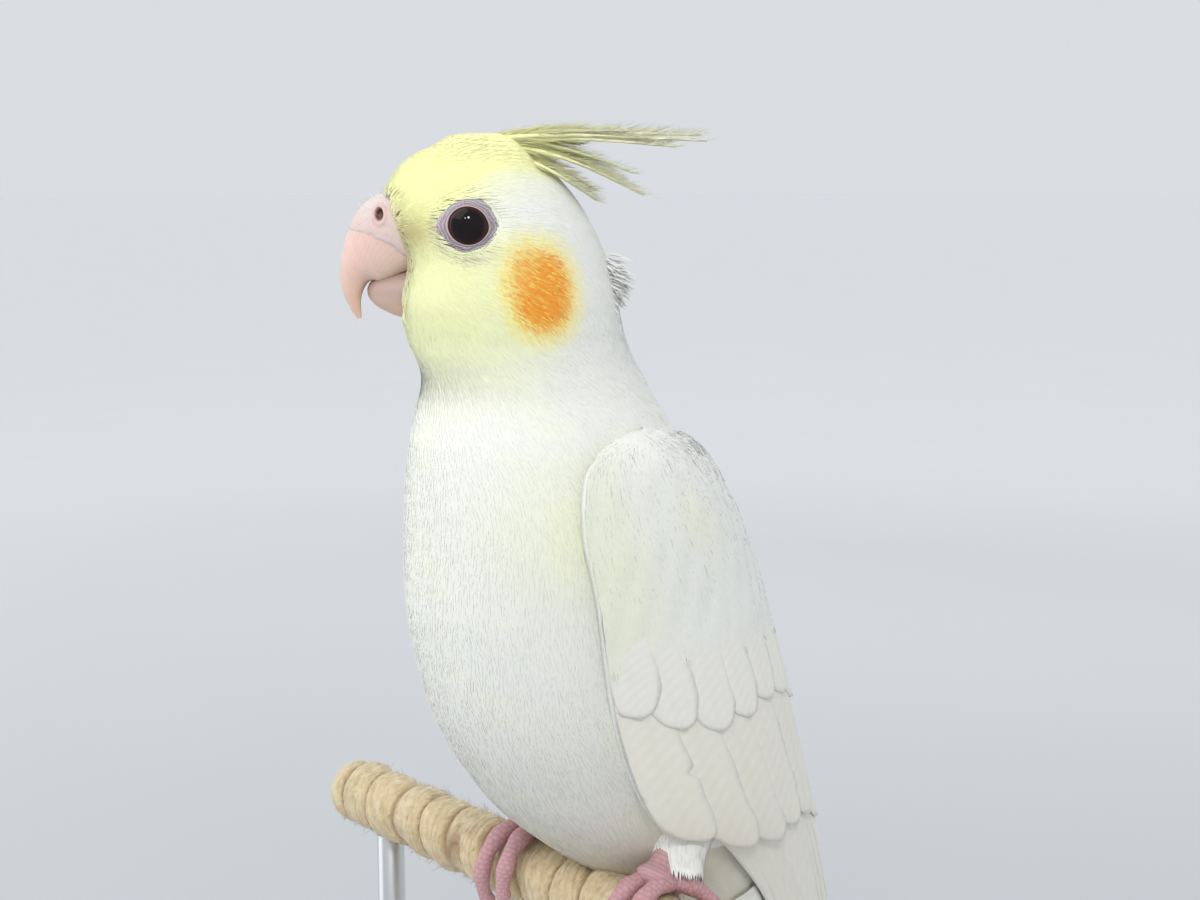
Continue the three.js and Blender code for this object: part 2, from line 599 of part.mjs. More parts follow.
function clawSolid(toe, hand, grow = 0) {
  const steps = 3;
  const turn = THREE.MathUtils.radToDeg(CLAW.length / (TOE_PATH + 0.6));
  const points = range(steps + 1).map((i) => {
    const share = i / steps;
    const lift = 0.6 * Math.sin(Math.PI * share) - 0.3 * share;
    return toePoint(toe, hand, toe.reach + CLAW.start + turn * share, TOE_PATH + lift);
  });
  const radii = range(steps + 1).map((i) => CLAW.radius * (1 - 0.84 * (i / steps)));
  return tubeSolid(points, radii, 6, grow);
}

// The feathered thighs come out of the belly just above the feet.
function thighSolid(hand, grow = 0) {
  const points = [[15.1, 10, 21], [15.7, 8, 17], [16.3, 6, 13.4], [16.5, 4.8, 10.6]];
  const places = points.map(([x, y, z], i) => vec((STANCE_X * i) / 3 + hand * x, y, z));
  return tubeSolid(places, [4.6, 5.2, 4.6, 3.4], 10, grow);
}

// The perch: a steel core in a cord wrapping whose turns run round it as soft ridges.
function perchWrap() {
  const sides = 12;
  const perTurn = 3;
  const steps = Math.round((PERCH_LENGTH / CORD_TURN) * perTurn);
  const rings = range(steps + 1).map((i) => {
    const x = mix(-PERCH_LENGTH / 2, PERCH_LENGTH / 2, i / steps);
    return range(sides).map((k) => {
      const turn = (2 * Math.PI * k) / sides;
      const ridge = Math.abs(Math.cos(Math.PI * (x / CORD_TURN + k / sides)));
      const radius = PERCH_RADIUS * (0.9 + 0.1 * Math.sqrt(ridge) - 0.012 * (1 + Math.sin(x * 0.61)));
      return vec(x, radius * Math.sin(turn), radius * Math.cos(turn));
    });
  });
  const bore = new THREE.CylinderGeometry(CORE_RADIUS + GAP, CORE_RADIUS + GAP, PERCH_LENGTH + 4, 14);
  return ringSolid(rings).subtract(solidOf(bore.rotateZ(-Math.PI / 2)));
}

const perchCore = () =>
  solidOf(new THREE.CylinderGeometry(CORE_RADIUS, CORE_RADIUS, PERCH_LENGTH + 6, 16).rotateZ(Math.PI / 2));

const perchSpace = (radius) =>
  solidOf(new THREE.CylinderGeometry(radius, radius, PERCH_LENGTH + 20, 20).rotateZ(Math.PI / 2));

// The stand: a rounded base with two rods up to the perch.
function baseSolid() {
  const corner = 16;
  const [x, y] = [BASE_LENGTH / 2 - corner, BASE_DEPTH / 2 - corner];
  const outline = new THREE.Shape();
  [[x, y, 0], [-x, y, 90], [-x, -y, 180], [x, -y, 270]].forEach(([cx, cy, start]) => {
    outline.absarc(cx, cy, corner, radians(start), radians(start + 90), false);
  });
  const soft = 1.2;
  const board = new THREE.ExtrudeGeometry(outline, {
    depth: BASE_THICK - 2 * soft,
    bevelThickness: soft,
    bevelSize: soft,
    bevelOffset: -soft,
    bevelSegments: 1,
    curveSegments: 5,
  });
  return solidOf(board.translate(0, 0, soft));
}

function rodSolid(hand) {
  const foot = BASE_THICK + GAP;
  const height = PERCH_HEIGHT - foot;
  const rod = new THREE.CylinderGeometry(ROD_RADIUS, ROD_RADIUS, height, 14).rotateX(Math.PI / 2);
  const raised = solidOf(rod.translate(hand * ROD_X, PERCH_Y, foot + height / 2));
  return raised.subtract(perchSpace(PERCH_RADIUS + GAP).translate([0, PERCH_Y, PERCH_HEIGHT]));
}

// Materials.
const paint = (color, roughness = 0.85, metalness = 0) =>
  new THREE.MeshStandardMaterial({ color, roughness, metalness });
const MATERIALS = {
  plumage: paint(0xf1f2e8),
  face: paint(0xeef0b0),
  crest: paint(0xf2f28a),
  bill: paint(0xe8c6bf, 0.45),
  eye: paint(0x1a0a0e, 0.05),
  foot: paint(0xdf9dab, 0.6),
  claw: paint(0xd8c3b6, 0.4),
  cord: paint(0xe4cc9c, 0.95),
  steel: paint(0xc4c6c8, 0.35, 1),
  wood: paint(0xf0efec, 0.55),
};

const group = new THREE.Group();
const bird = new THREE.Group();
bird.position.set(0, PERCH_Y, PERCH_HEIGHT);
group.add(bird);

function addNode(name, solid, material, parent = bird) {
  const mesh = new THREE.Mesh(geometryOf(solid), material);
  mesh.name = name;
  parent.add(mesh);
}

// Flesh and feathers of the head.
const hands = { left: 1, right: -1 };
const upperBill = billSolid(UPPER_BILL, 11, 14, 0, 0.12);
const upperSpace = billSolid(UPPER_BILL, 11, 14, GAP, 0.12);
const mouthSpace = billSolid(UPPER_BILL, 11, 14, MOUTH_GAP, 0.12);
const lowerBill = billSolid(LOWER_BILL, 7, 12).subtract(mouthSpace);
const lowerSpace = billSolid(LOWER_BILL, 7, 12, GAP);
const cereWhole = billSolid(CERE, 6, 14);
const cereSpace = billSolid(CERE, 6, 14, GAP);
const nostrils = Object.values(hands).map(nostrilCut);
const cere = cereWhole.subtract(joined([upperSpace, ...nostrils]));
const lids = Object.values(hands).map(lidSolid);
const sockets = Object.values(hands).map((hand) => eyeSolid(hand, GAP));
const headCuts = joined([upperSpace, lowerSpace, cereSpace, ...sockets]);
const headWhole = joined([bodyPart(HEAD_FROM + 0.05, CROWN, HEAD_STEPS), ...lids]);

addNode("head", headWhole.subtract(headCuts), MATERIALS.face);
addNode("crest", crestSolid().subtract(cereSpace), MATERIALS.crest);
addNode("upper_bill", upperBill, MATERIALS.bill);
addNode("lower_bill", lowerBill, MATERIALS.bill);
addNode("cere", cere, MATERIALS.bill);
Object.entries(hands).forEach(([side, hand]) => addNode(`eye_${side}`, eyeSolid(hand), MATERIALS.eye));

// Neck and torso, with room for what grows from them.
const slot = tailSole(GAP, 10);
const legSpaces = Object.values(hands).flatMap((hand) => [footSolid(hand, GAP), thighSolid(hand, GAP)]);
const legsEitherWay = legSpaces.flatMap((space) => [space, space.mirror([1, 0, 0])]);
const clawSpaces = Object.values(hands).flatMap((hand) => TOES.map((toe) => clawSolid(toe, hand, GAP)));
const torsoCuts = joined([...legSpaces, ...clawSpaces, slot, perchSpace(PERCH_RADIUS + GAP)]);
const torsoWhole = bodyPart(0, NECK_FROM, TORSO_STEPS);
addNode("neck", bodyPart(NECK_FROM + 0.03, HEAD_FROM, 4), MATERIALS.plumage);
addNode("torso", torsoWhole.subtract(torsoCuts), MATERIALS.plumage);

// Wings: made once on the left and mirrored. The body's turn at the neck is cleared on both sides.
const turned = joined([bodyPart(0, NECK_FROM, TORSO_STEPS, GAP), bodyPart(NECK_FROM, HEAD_FROM, 4, GAP)]);
const wingCuts = joined([turned, turned.mirror([1, 0, 0]), slot, tailSpace(), ...legsEitherWay]);
const leftHalf = boxSolid(vec(GAP / 2, -60, -140), vec(80, 140, 110));
const leftWing = joined([wingCore(), ...wingFeathers()]).subtract(wingCuts).intersect(leftHalf);
addNode("wing_left", leftWing, MATERIALS.plumage);
addNode("wing_right", leftWing.mirror([1, 0, 0]), MATERIALS.plumage);

// Tail.
const tailVanes = range(TAIL.pairs).flatMap((pair) => [tailVane(pair, 1), tailVane(pair, -1)]);
addNode("tail", joined([tailSole(), ...tailVanes]), MATERIALS.plumage);

// Legs and feet.
Object.entries(hands).forEach(([side, hand]) => {
  addNode(`thigh_${side}`, thighSolid(hand).subtract(footSolid(hand, GAP)), MATERIALS.plumage);
  addNode(`foot_${side}`, footSolid(hand), MATERIALS.foot);
  TOES.forEach((toe) => addNode(`claw_${side}_${toe.name}`, clawSolid(toe, hand), MATERIALS.claw));
});

// Perch and stand.
addNode("perch_core", perchCore(), MATERIALS.steel);
addNode("perch_wrap", perchWrap(), MATERIALS.cord);
addNode("stand_base", baseSolid(), MATERIALS.wood, group);
Object.entries(hands).forEach(([side, hand]) => {
  addNode(`stand_rod_${side}`, rodSolid(hand), MATERIALS.steel, group);
});

export default group;
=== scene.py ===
"""Looks of the cockatiel: skin, coat, flight feathers, bill, eyes, feet, perch, stand, light and camera.

Shapes are worked out in millimetres from the middle of the perch, as in the solids, and placed in
metres in the frame. The bird's chest faces -Y, its left side is +X, and its head is turned right.
"""
import math

import bpy
import numpy as np
from mathutils import Matrix, Vector


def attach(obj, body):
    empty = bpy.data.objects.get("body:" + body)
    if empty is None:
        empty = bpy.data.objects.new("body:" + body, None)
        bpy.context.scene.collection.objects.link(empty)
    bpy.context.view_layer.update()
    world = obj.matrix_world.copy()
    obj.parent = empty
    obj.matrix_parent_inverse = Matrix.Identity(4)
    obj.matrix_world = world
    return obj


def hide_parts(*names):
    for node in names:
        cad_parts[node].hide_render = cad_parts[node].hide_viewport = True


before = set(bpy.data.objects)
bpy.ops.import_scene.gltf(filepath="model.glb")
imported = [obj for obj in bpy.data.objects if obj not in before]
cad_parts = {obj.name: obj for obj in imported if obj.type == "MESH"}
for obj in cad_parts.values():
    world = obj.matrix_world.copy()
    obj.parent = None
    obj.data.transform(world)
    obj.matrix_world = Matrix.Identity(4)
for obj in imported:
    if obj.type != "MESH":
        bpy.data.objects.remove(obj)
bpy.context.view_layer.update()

# Places and sizes that the solids use.
PERCH_Y, PERCH_HEIGHT, PERCH_RADIUS, PERCH_LENGTH = -26.0, 174.0, 6.5, 140.0
CORE_RADIUS, CORD_TURN = 2.6, 9.3
BASE_LENGTH, BASE_DEPTH, BASE_THICK = 150.0, 136.0, 12.0
ROD_RADIUS, ROD_X, FOOT_X, STANCE_X, GAP = 2.6, 58.0, 16.5, 3.0, 0.3
HEAD_TURN = 38.0
ROUNDNESS = 2.15
WING_SKEW = 1.25

# Body rings: x, y, z, lean, turn, front, back, side.
BODY_RINGS = np.array([
    (0, 49.2, -51, 25, 0, 4.8, 4.8, 11),
    (0, 43, -38, 26, 0, 6.8, 7.6, 12.8),
    (0, 36.5, -24, 27, 0, 9.2, 10.8, 14.8),
    (0, 30, -11, 28, 0, 11.8, 14, 17),
    (0, 23.5, 1, 28, 0, 14.2, 17.2, 19.6),
    (0, 17, 13.5, 26, 0, 20, 20.2, 22),
    (0, 9.8, 25.5, 21, 0, 26, 23.6, 24),
    (0, 3.5, 39, 14, 0, 29.6, 26.4, 25.2),
    (0, -0.5, 54, 8, 0, 29.8, 26.8, 25.2),
    (0, -3.5, 69, 4, 0, 27.2, 24.4, 23.4),
    (-0.5, -6.5, 80, 1, 8, 22.8, 21, 20),
    (-2.2, -8.8, 88, 0, 22, 17.8, 19.6, 17),
    (-3.8, -12.5, 94.5, 0, 33, 15.9, 20.4, 15.4),
    (-4.6, -15, 100.8, 0, 38, 14.3, 21.2, 14.4),
    (-4.6, -15.4, 107, 0, 38, 13, 19.8, 13.3),
    (-4.6, -15.4, 112.5, 0, 38, 14.9, 17.4, 12.3),
    (-4.6, -15.4, 117, 0, 38, 16.2, 14.6, 10.9),
    (-4.6, -15.4, 120.6, 0, 38, 14.3, 11.2, 9.1),
    (-4.6, -15.4, 123.4, 0, 38, 10.8, 7, 6.7),
    (-4.6, -15.4, 125.2, 0, 38, 6, 2.4, 3.4),
], float)
CROWN = len(BODY_RINGS) - 1

SIDES = {1: "left", -1: "right"}
rng = np.random.default_rng(7)


def smooth(values, position):
    """A smooth curve through values one unit apart, at an array of positions."""
    values = np.asarray(values, float)
    position = np.asarray(position, float)
    last = len(values) - 1
    i = np.clip(np.floor(position).astype(int), 0, last - 1)
    f = position - i
    if values.ndim > 1:
        f = f[..., None]
    p0, p1, p2, p3 = (values[np.clip(i + k, 0, last)] for k in (-1, 0, 1, 2))
    bend = 2 * p0 - 5 * p1 + 4 * p2 - p3
    twist = 3 * p1 - p0 - 3 * p2 + p3
    return p1 + 0.5 * f * (p2 - p0 + f * (bend + f * twist))


def unit(v):
    return v / np.maximum(np.linalg.norm(v, axis=-1, keepdims=True), 1e-9)


def ramp(x, low, high):
    t = np.clip((np.asarray(x, float) - low) / (high - low), 0, 1)
    return t * t * (3 - 2 * t)


def mix(a, b, t):
    return a + (b - a) * t


def circle(count):
    """Even angles once round, as one row."""
    return np.linspace(0, 2 * math.pi, count, endpoint=False)[None, :]


def ripple(points, scale, seed=0):
    """Smooth pseudo-random values from -1 to 1 over space."""
    total = np.zeros(points.shape[:-1])
    gen = np.random.default_rng(seed)
    for octave in range(4):
        way = gen.normal(size=(3, 3)) * (1.6 ** octave) / scale
        phase = gen.uniform(0, 2 * math.pi, 3)
        total += np.sin(points @ way[0] + phase[0]) * np.sin(points @ way[1] + phase[1]) / (1.3 ** octave)
    return np.clip(total / 2.2, -1, 1)


def body_frame(position):
    x, y, z, lean, turn, front, back, side = np.moveaxis(smooth(BODY_RINGS, position), -1, 0)
    lean, turn = np.radians(lean), np.radians(turn)
    ahead = np.stack([-np.sin(turn), -np.cos(turn) * np.cos(lean), -np.sin(lean)], -1)
    left = np.stack([np.cos(turn), -np.sin(turn), 0 * turn], -1)
    return np.stack([x, y, z], -1), ahead, left, front, back, side


def body_point(position, angle, grow=0.0):
    middle, ahead, left, front, back, side = body_frame(position)
    power = 2 / ROUNDNESS
    c, s = np.cos(angle), np.sin(angle)
    reach = np.where(c > 0, front, back) + grow
    c, s = np.sign(c) * np.abs(c) ** power, np.sign(s) * np.abs(s) ** power
    return middle + ahead * (reach * c)[..., None] + left * ((side + grow) * s)[..., None]


def body_normal(position, angle):
    step = 0.02
    up = body_point(np.minimum(position + step, CROWN),
        angle) - body_point(np.maximum(position - step, 0), angle)
    around = body_point(position, angle + step) - body_point(position, angle - step)
    return unit(np.cross(around, up))


# Places in the head: forward, to its left and up from its middle.
HEAD_MIDDLE = np.array([-4.6, -15.4, 112.5])
TURN = math.radians(HEAD_TURN)
EYE_AT, EYE_SIDE, EYE_RADIUS, EYE_SEEN = (2.1, 0.2), 8.9, 4.1, 2.95  # forward and up, then sizes
CHEEK_AT = (-8.8, -9.6)  # forward and up
HEAD_AXES = np.array([[-math.sin(TURN), -math.cos(TURN), 0], [math.cos(TURN), -math.sin(TURN), 0],
    [0, 0, 1.0]])


def in_head(places):
    return HEAD_MIDDLE + np.asarray(places, float) @ HEAD_AXES


def head_places(points):
    return (points - HEAD_MIDDLE) @ HEAD_AXES.T


def head_side(forward, up, grow=0.0):
    """How far the head's side lies from its middle plane."""
    z = HEAD_MIDDLE[2] + up
    position = np.interp(z, BODY_RINGS[:, 2], np.arange(CROWN + 1))
    _, _, _, front, back, side = body_frame(position)
    reach = np.where(forward > 0, front, back) + grow
    inside = np.clip(1 - np.abs(forward / reach) ** ROUNDNESS, 0, 1)
    return (side + grow) * inside ** (1 / ROUNDNESS)


# Colours, as linear values.
WHITE = np.array([0.825, 0.83, 0.775])
# A cool grey, used only for painted shade on the large feathers.
COOL_SHADE = np.array([0.75, 0.77, 0.78])
YELLOW = np.array([0.92, 0.92, 0.42])
PALE_YELLOW = np.array([0.87, 0.90, 0.44])
OLIVE = np.array([0.46, 0.38, 0.17])
ORANGE = np.array([0.88, 0.30, 0.015])
GOLD = np.array([0.95, 0.83, 0.16])
BEIGE = np.array([0.74, 0.68, 0.54])


def plain(colour, like):
    """One colour for every point of an array of points."""
    return np.broadcast_to(colour, like.shape).copy()


def blend(colour, other, share):
    return mix(colour, other, np.clip(share, 0, 1)[..., None])


def plumage(points):
    """The colour of the small feathers at places on the bird, with painted shade low on the body."""
    f, l, u = np.moveaxis(head_places(points), -1, 0)
    z = points[..., 2]
    wander = ripple(points, 5.0, 3)
    on_head = ramp(z, 84, 96)
    colour = plain(WHITE, points)
    colour = blend(colour, PALE_YELLOW, 0.16 * ramp(wander, -0.2, 1))
    colour = blend(colour, BEIGE, 0.75 * ramp(-z, -24, -4) * ramp(-points[..., 1], -30, -8))
    shoulder = np.exp(-((z - 66) / 12) ** 2 - ((points[..., 1] + 16) / 12) ** 2)
    colour = blend(colour, PALE_YELLOW, 0.3 * shoulder)
    throat = ramp(z, 80, 99) * ramp(f, -20, 4)
    colour = blend(colour, PALE_YELLOW, 0.85 * throat)
    front = on_head * ramp(f, -2, 9) * ramp(u, -13, 2)
    colour = blend(colour, YELLOW, 0.45 * front)
    crown = ramp(u - np.interp(f, (-10, -6, -2, 2, 6, 10), (7.4, 8.2, 8.2, 5.4, 1.6, -3)), -1.2, 1.4)
    colour = blend(colour, YELLOW, 0.92 * crown)
    ring = np.hypot(f - EYE_AT[0], u - EYE_AT[1])
    low_front = ramp(0.6 * (f - EYE_AT[0]) - (u - EYE_AT[1]), -1, 3) * ramp(np.abs(l), 6, 8)
    colour = blend(colour, (0.50, 0.47, 0.42), 0.45 * np.exp(-((ring - 5.1) / 0.75) ** 2) * low_front)
    lores = np.exp(-((f - 10.5) / 3.2) ** 2 - ((u + 1.0) / 3.0) ** 2)
    colour = blend(colour, OLIVE, 0.75 * lores)
    band = np.exp(-((f + 7.5) / 7.5) ** 2 - ((u - 2.2) / 4.4) ** 2) * ramp(-f, -3.5, 1.5)
    colour = blend(colour, WHITE, 0.98 * band * (1 - crown))
    nape = ramp(-f, 9, 15) * on_head * (1 - crown)
    colour = blend(colour, WHITE, 0.9 * nape)
    # The cheek patch, with streaks that run back and down.
    across = (f - CHEEK_AT[0] - 0.1 * (u - CHEEK_AT[1])) / 5.2
    along = (u - CHEEK_AT[1]) / 7.0
    streak = 0.16 * np.sin(3.1 * f - 7.2 * u + 2.5 * wander) * ramp(f, -13, -4)
    far = (np.abs(across) ** 2.3 + np.abs(along) ** 2.3) ** (1 / 2.3) + streak
    sides = ramp(np.abs(l), 5, 8)
    colour = blend(colour, GOLD, 0.65 * (1 - ramp(far, 0.9, 1.5)) * sides)
    faint = 1 - 0.35 * ramp(0.7 * across + 0.7 * along, 0.0, 0.9)
    colour = blend(colour, ORANGE, 0.97 * (1 - ramp(far, 0.62, 1.1)) * sides * faint)
    # Painted shade: the coat is painted darker towards the bottom of the body, where less light falls.
    low = ramp(-z, -50, -10)[..., None] * np.array([0.12, 0.13, 0.15])
    return np.clip(colour * (1 + 0.02 * wander[..., None]) * (1 - low), 0, 1)


# Meshes.
def metres(points):
    return (np.asarray(points, float) + np.array([0, PERCH_Y, PERCH_HEIGHT])) / 1000


def make_mesh(name, points, quads=None, tris=None, colours=None, uvs=None, normals=None):
    """A mesh object from arrays. Points are in millimetres from the middle of the perch."""
    quads = np.empty((0, 4), int) if quads is None else np.asarray(quads, int).reshape(-1, 4)
    tris = np.empty((0, 3), int) if tris is None else np.asarray(tris, int).reshape(-1, 3)
    points = np.asarray(points, float).reshape(-1, 3)
    # Faces look outwards: a closed shape that holds less than nothing is turned inside out.
    corners = points[np.concatenate([quads[:, [0, 1, 2]], quads[:, [0, 2, 3]], tris])] - points.mean(0)
    if np.sum(corners[:, 0] * np.cross(corners[:, 1], corners[:, 2])) < 0:
        quads, tris = quads[:, ::-1], tris[:, ::-1]
    mesh = bpy.data.meshes.new(name)
    mesh.vertices.add(len(points))
    mesh.vertices.foreach_set("co", metres(points).astype(np.float32).ravel())
    loops = np.concatenate([quads.ravel(), tris.ravel()])
    sizes = np.concatenate([np.full(len(quads), 4), np.full(len(tris), 3)])
    mesh.loops.add(len(loops))
    mesh.loops.foreach_set("vertex_index", loops.astype(np.int32))
    mesh.polygons.add(len(sizes))
    starts = np.concatenate([[0], np.cumsum(sizes)[:-1]])
    mesh.polygons.foreach_set("loop_start", starts.astype(np.int32))
    mesh.polygons.foreach_set("loop_total", sizes.astype(np.int32))
    mesh.update(calc_edges=True)
    mesh.polygons.foreach_set("use_smooth", np.full(len(sizes), True))
    if colours is not None:
        layer = mesh.color_attributes.new("tint", "FLOAT_COLOR", "POINT")
        rgba = np.ones((len(points), 4), np.float32)
        rgba[:, :3] = np.asarray(colours).reshape(-1, 3)
        layer.data.foreach_set("color", rgba.ravel())
    if uvs is not None:
        layer = mesh.uv_layers.new(name="OFBake")
        layer.data.foreach_set("uv", np.asarray(uvs, np.float32).reshape(-1, 2)[loops].ravel())
    mesh.validate()
    if normals is not None:
        mesh.normals_split_custom_set_from_vertices(normals.reshape(-1, 3))
    piece = bpy.data.objects.new(name, mesh)
    bpy.context.scene.collection.objects.link(piece)
    return piece


def grid_quads(rows, columns, closed=False):
    """Faces of a grid of points. closed joins the last column to the first."""
    i = np.arange(rows - 1)[:, None]
    k = np.arange(columns if closed else columns - 1)[None, :]
    after = (k + 1) % columns
    return np.stack([i * columns + k, i * columns + after, (i + 1) * columns + after,
        (i + 1) * columns + k], -1).reshape(-1, 4)


def tube_mesh(name, rings, colours=None, caps=True, uvs=None):
    """A closed surface through rings, an array of rows by columns by 3."""
    rows, columns, _ = rings.shape
    points = rings.reshape(-1, 3)
    quads = grid_quads(rows, columns, closed=True)
    tris = None
    if caps:
        ends = np.stack([rings[0].mean(0), rings[-1].mean(0)])
        k = np.arange(columns)
        after = (k + 1) % columns
        low = np.stack([after, k, np.full(columns, len(points))], -1)
        last = (rows - 1) * columns
        high = np.stack([last + k, last + after, np.full(columns, len(points) + 1)], -1)
        tris = np.concatenate([low, high])
        points = np.concatenate([points, ends])
        if colours is not None:
            colours = colours.reshape(-1, 3)
            colours = np.concatenate([colours, colours[:1], colours[-1:]])
    return make_mesh(name, points, quads, tris, colours, uvs)


def ride(piece, material, slot, *nodes):
    piece.data.materials.append(material)
    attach(piece, "root")
    if nodes:
        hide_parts(*nodes)
    return piece


# Materials.
def node_material(name, roughness, **sockets):
    material = bpy.data.materials.new(name)
    material.use_nodes = True
    shader = material.node_tree.nodes["Principled BSDF"]
    shader.inputs["Roughness"].default_value = roughness
    for key, value in sockets.items():
        shader.inputs[key.replace("_", " ")].default_value = value
    return material, material.node_tree, shader


def add_noise(tree, scale, detail=4.0, stretch=(1, 1, 1)):
    place = tree.nodes.new("ShaderNodeTexCoord")
    mapping = tree.nodes.new("ShaderNodeMapping")
    mapping.inputs["Scale"].default_value = stretch
    noise = tree.nodes.new("ShaderNodeTexNoise")
    noise.inputs["Scale"].default_value = scale
    noise.inputs["Detail"].default_value = detail
    tree.links.new(place.outputs["Object"], mapping.inputs["Vector"])
    tree.links.new(mapping.outputs["Vector"], noise.inputs["Vector"])
    return noise.outputs["Fac"]


def add_bump(tree, shader, height, strength, distance):
    bump = tree.nodes.new("ShaderNodeBump")
    bump.inputs["Strength"].default_value = strength
    bump.inputs["Distance"].default_value = distance
    tree.links.new(height, bump.inputs["Height"])
    tree.links.new(bump.outputs["Normal"], shader.inputs["Normal"])


def add_range(tree, value, low, high):
    node = tree.nodes.new("ShaderNodeMapRange")
    node.inputs["To Min"].default_value = low
    node.inputs["To Max"].default_value = high
    tree.links.new(value, node.inputs["Value"])
    return node.outputs["Result"]


def mixed_colour(tree, first, second, factor, blend_type="MIX"):
    node = tree.nodes.new("ShaderNodeMix")
    node.data_type = "RGBA"
    node.blend_type = blend_type
    for socket, value in ((node.inputs[6], first), (node.inputs[7], second), (node.inputs[0], factor)):
        if isinstance(value, bpy.types.NodeSocket):
            tree.links.new(value, socket)
        else:
            socket.default_value = value
    return node.outputs[2]


def tinted(name, roughness, noise_scale, shade=0.9, bump=0.2, distance=0.0002, stretch=(1, 1, 1),
        **sockets):
    """A material whose colour comes from the piece's tint, varied by fine noise."""
    material, tree, shader = node_material(name, roughness, **sockets)
    tint = tree.nodes.new("ShaderNodeVertexColor")
    tint.layer_name = "tint"
    noise = add_noise(tree, noise_scale, stretch=stretch)
    grey = add_range(tree, noise, shade, 2 - shade)
    tree.links.new(mixed_colour(tree, tint.outputs["Color"], grey, 1.0, "MULTIPLY"),
        shader.inputs["Base Color"])
    tree.links.new(add_range(tree, noise, roughness - 0.08, min(roughness + 0.08, 1)),
        shader.inputs["Roughness"])
    add_bump(tree, shader, noise, bump, distance)
    return material


FEATHER = tinted("feather", 0.78, 900, 0.97, 0.15, 0.0001, Sheen_Weight=0.15, Sheen_Roughness=0.5)
COAT = tinted("coat", 0.85, 700, 0.98, 0.0, 0.00005, Sheen_Weight=0.15, Sheen_Roughness=0.5)
SKIN = tinted("feathered_skin", 0.85, 500, 0.92, 0.4, 0.0003)
HORN = tinted("bill_horn", 0.42, 260, 0.94, 0.25, 0.00012, Subsurface_Weight=0.15, Subsurface_Scale=0.002)
BARE = tinted("bare_skin", 0.58, 1300, 0.9, 0.6, 0.00018, Subsurface_Weight=0.15, Subsurface_Scale=0.002)
TOE = tinted("foot_scales", 0.55, 1500, 0.88, 0.6, 0.00018, Subsurface_Weight=0.1, Subsurface_Scale=0.002)
EYE = tinted("eye_gloss", 0.08, 400, 0.9, 0.0, 0.00001, Specular_IOR_Level=0.25)
CORD = tinted("cord_fibre", 0.92, 900, 0.86, 0.7, 0.0004, (0.35, 1, 1), Sheen_Weight=0.4)


# The skin.
def skin_depth(position):
    """How deep the skin lies under the coat's outline."""
    return mix(0.9, 0.5, ramp(position, 11.5, 13.5))


def skin_point(position, angle):
    """A point of the skin, raised a little under the crown's feathers and softly uneven."""
    points = body_point(position, angle, -skin_depth(position))
    f, l, u = np.moveaxis(head_places(points), -1, 0)
    middle = 1 - ramp(np.abs(l), 3.5, 7.5)
    lift = 1.55 * ramp(u, 6.5, 10) * middle * ramp(f, -10, -3) * (1 - 0.85 * ramp(f, 2, 9))
    between = np.exp(-(points[..., 0] / 5.0) ** 2) * ramp(-np.cos(angle), 0.2, 0.7)
    lift = lift + 3.2 * between * ramp(points[..., 2], -35, 5) * (1 - ramp(points[..., 2], 66, 80))
    lift = lift + 0.12 * ripple(points, 9.0, 21) + 0.06 * ripple(points, 4.0, 22)
    return points + body_normal(np.clip(position, 0.02, CROWN - 0.02), angle) * lift[..., None]


def build_skin():
    rows, columns = 190, 112
    position = np.linspace(0, CROWN, rows)[:, None] + np.zeros((1, columns))
    angle = circle(columns) + np.zeros((rows, 1))
    rings = skin_point(position, angle)
    inner = head_places(rings)
    # The face is drawn in a little where the bill and the eyes sit.
    f, l, u = np.moveaxis(inner, -1, 0)
    at_bill = np.exp(-((l / 5.6) ** 4)) * ramp(f, 8, 13) * ramp(u, -15, -9) * (1 - ramp(u, 3.5, 6.5))
    at_eye = np.exp(-(((f - EYE_AT[0]) / 4.4) ** 2 + ((u - EYE_AT[1]) / 4.2) ** 2) ** 2) * ramp(np.abs(l), 6, 9)
    inner[..., 0] -= 1.6 * at_bill
    inner[..., 1] -= 1.2 * at_eye * np.sign(l)
    rings = in_head(inner)
    colours = plumage(rings)
    uvs = np.stack([angle / (2 * math.pi), position / CROWN], -1)
    ends = uvs[[0, -1]].mean(1)
    piece = tube_mesh("skin", rings, colours, uvs=np.concatenate([uvs.reshape(-1, 2), ends]))
    return ride(piece, SKIN, "plumage", "torso", "neck", "head")


# Feathers of the coat.
ROUND_SHADE = 0.12
PATCH = 0.0015  # half the width of a barb's patch on the unwrap
BARB_POINTS = 7


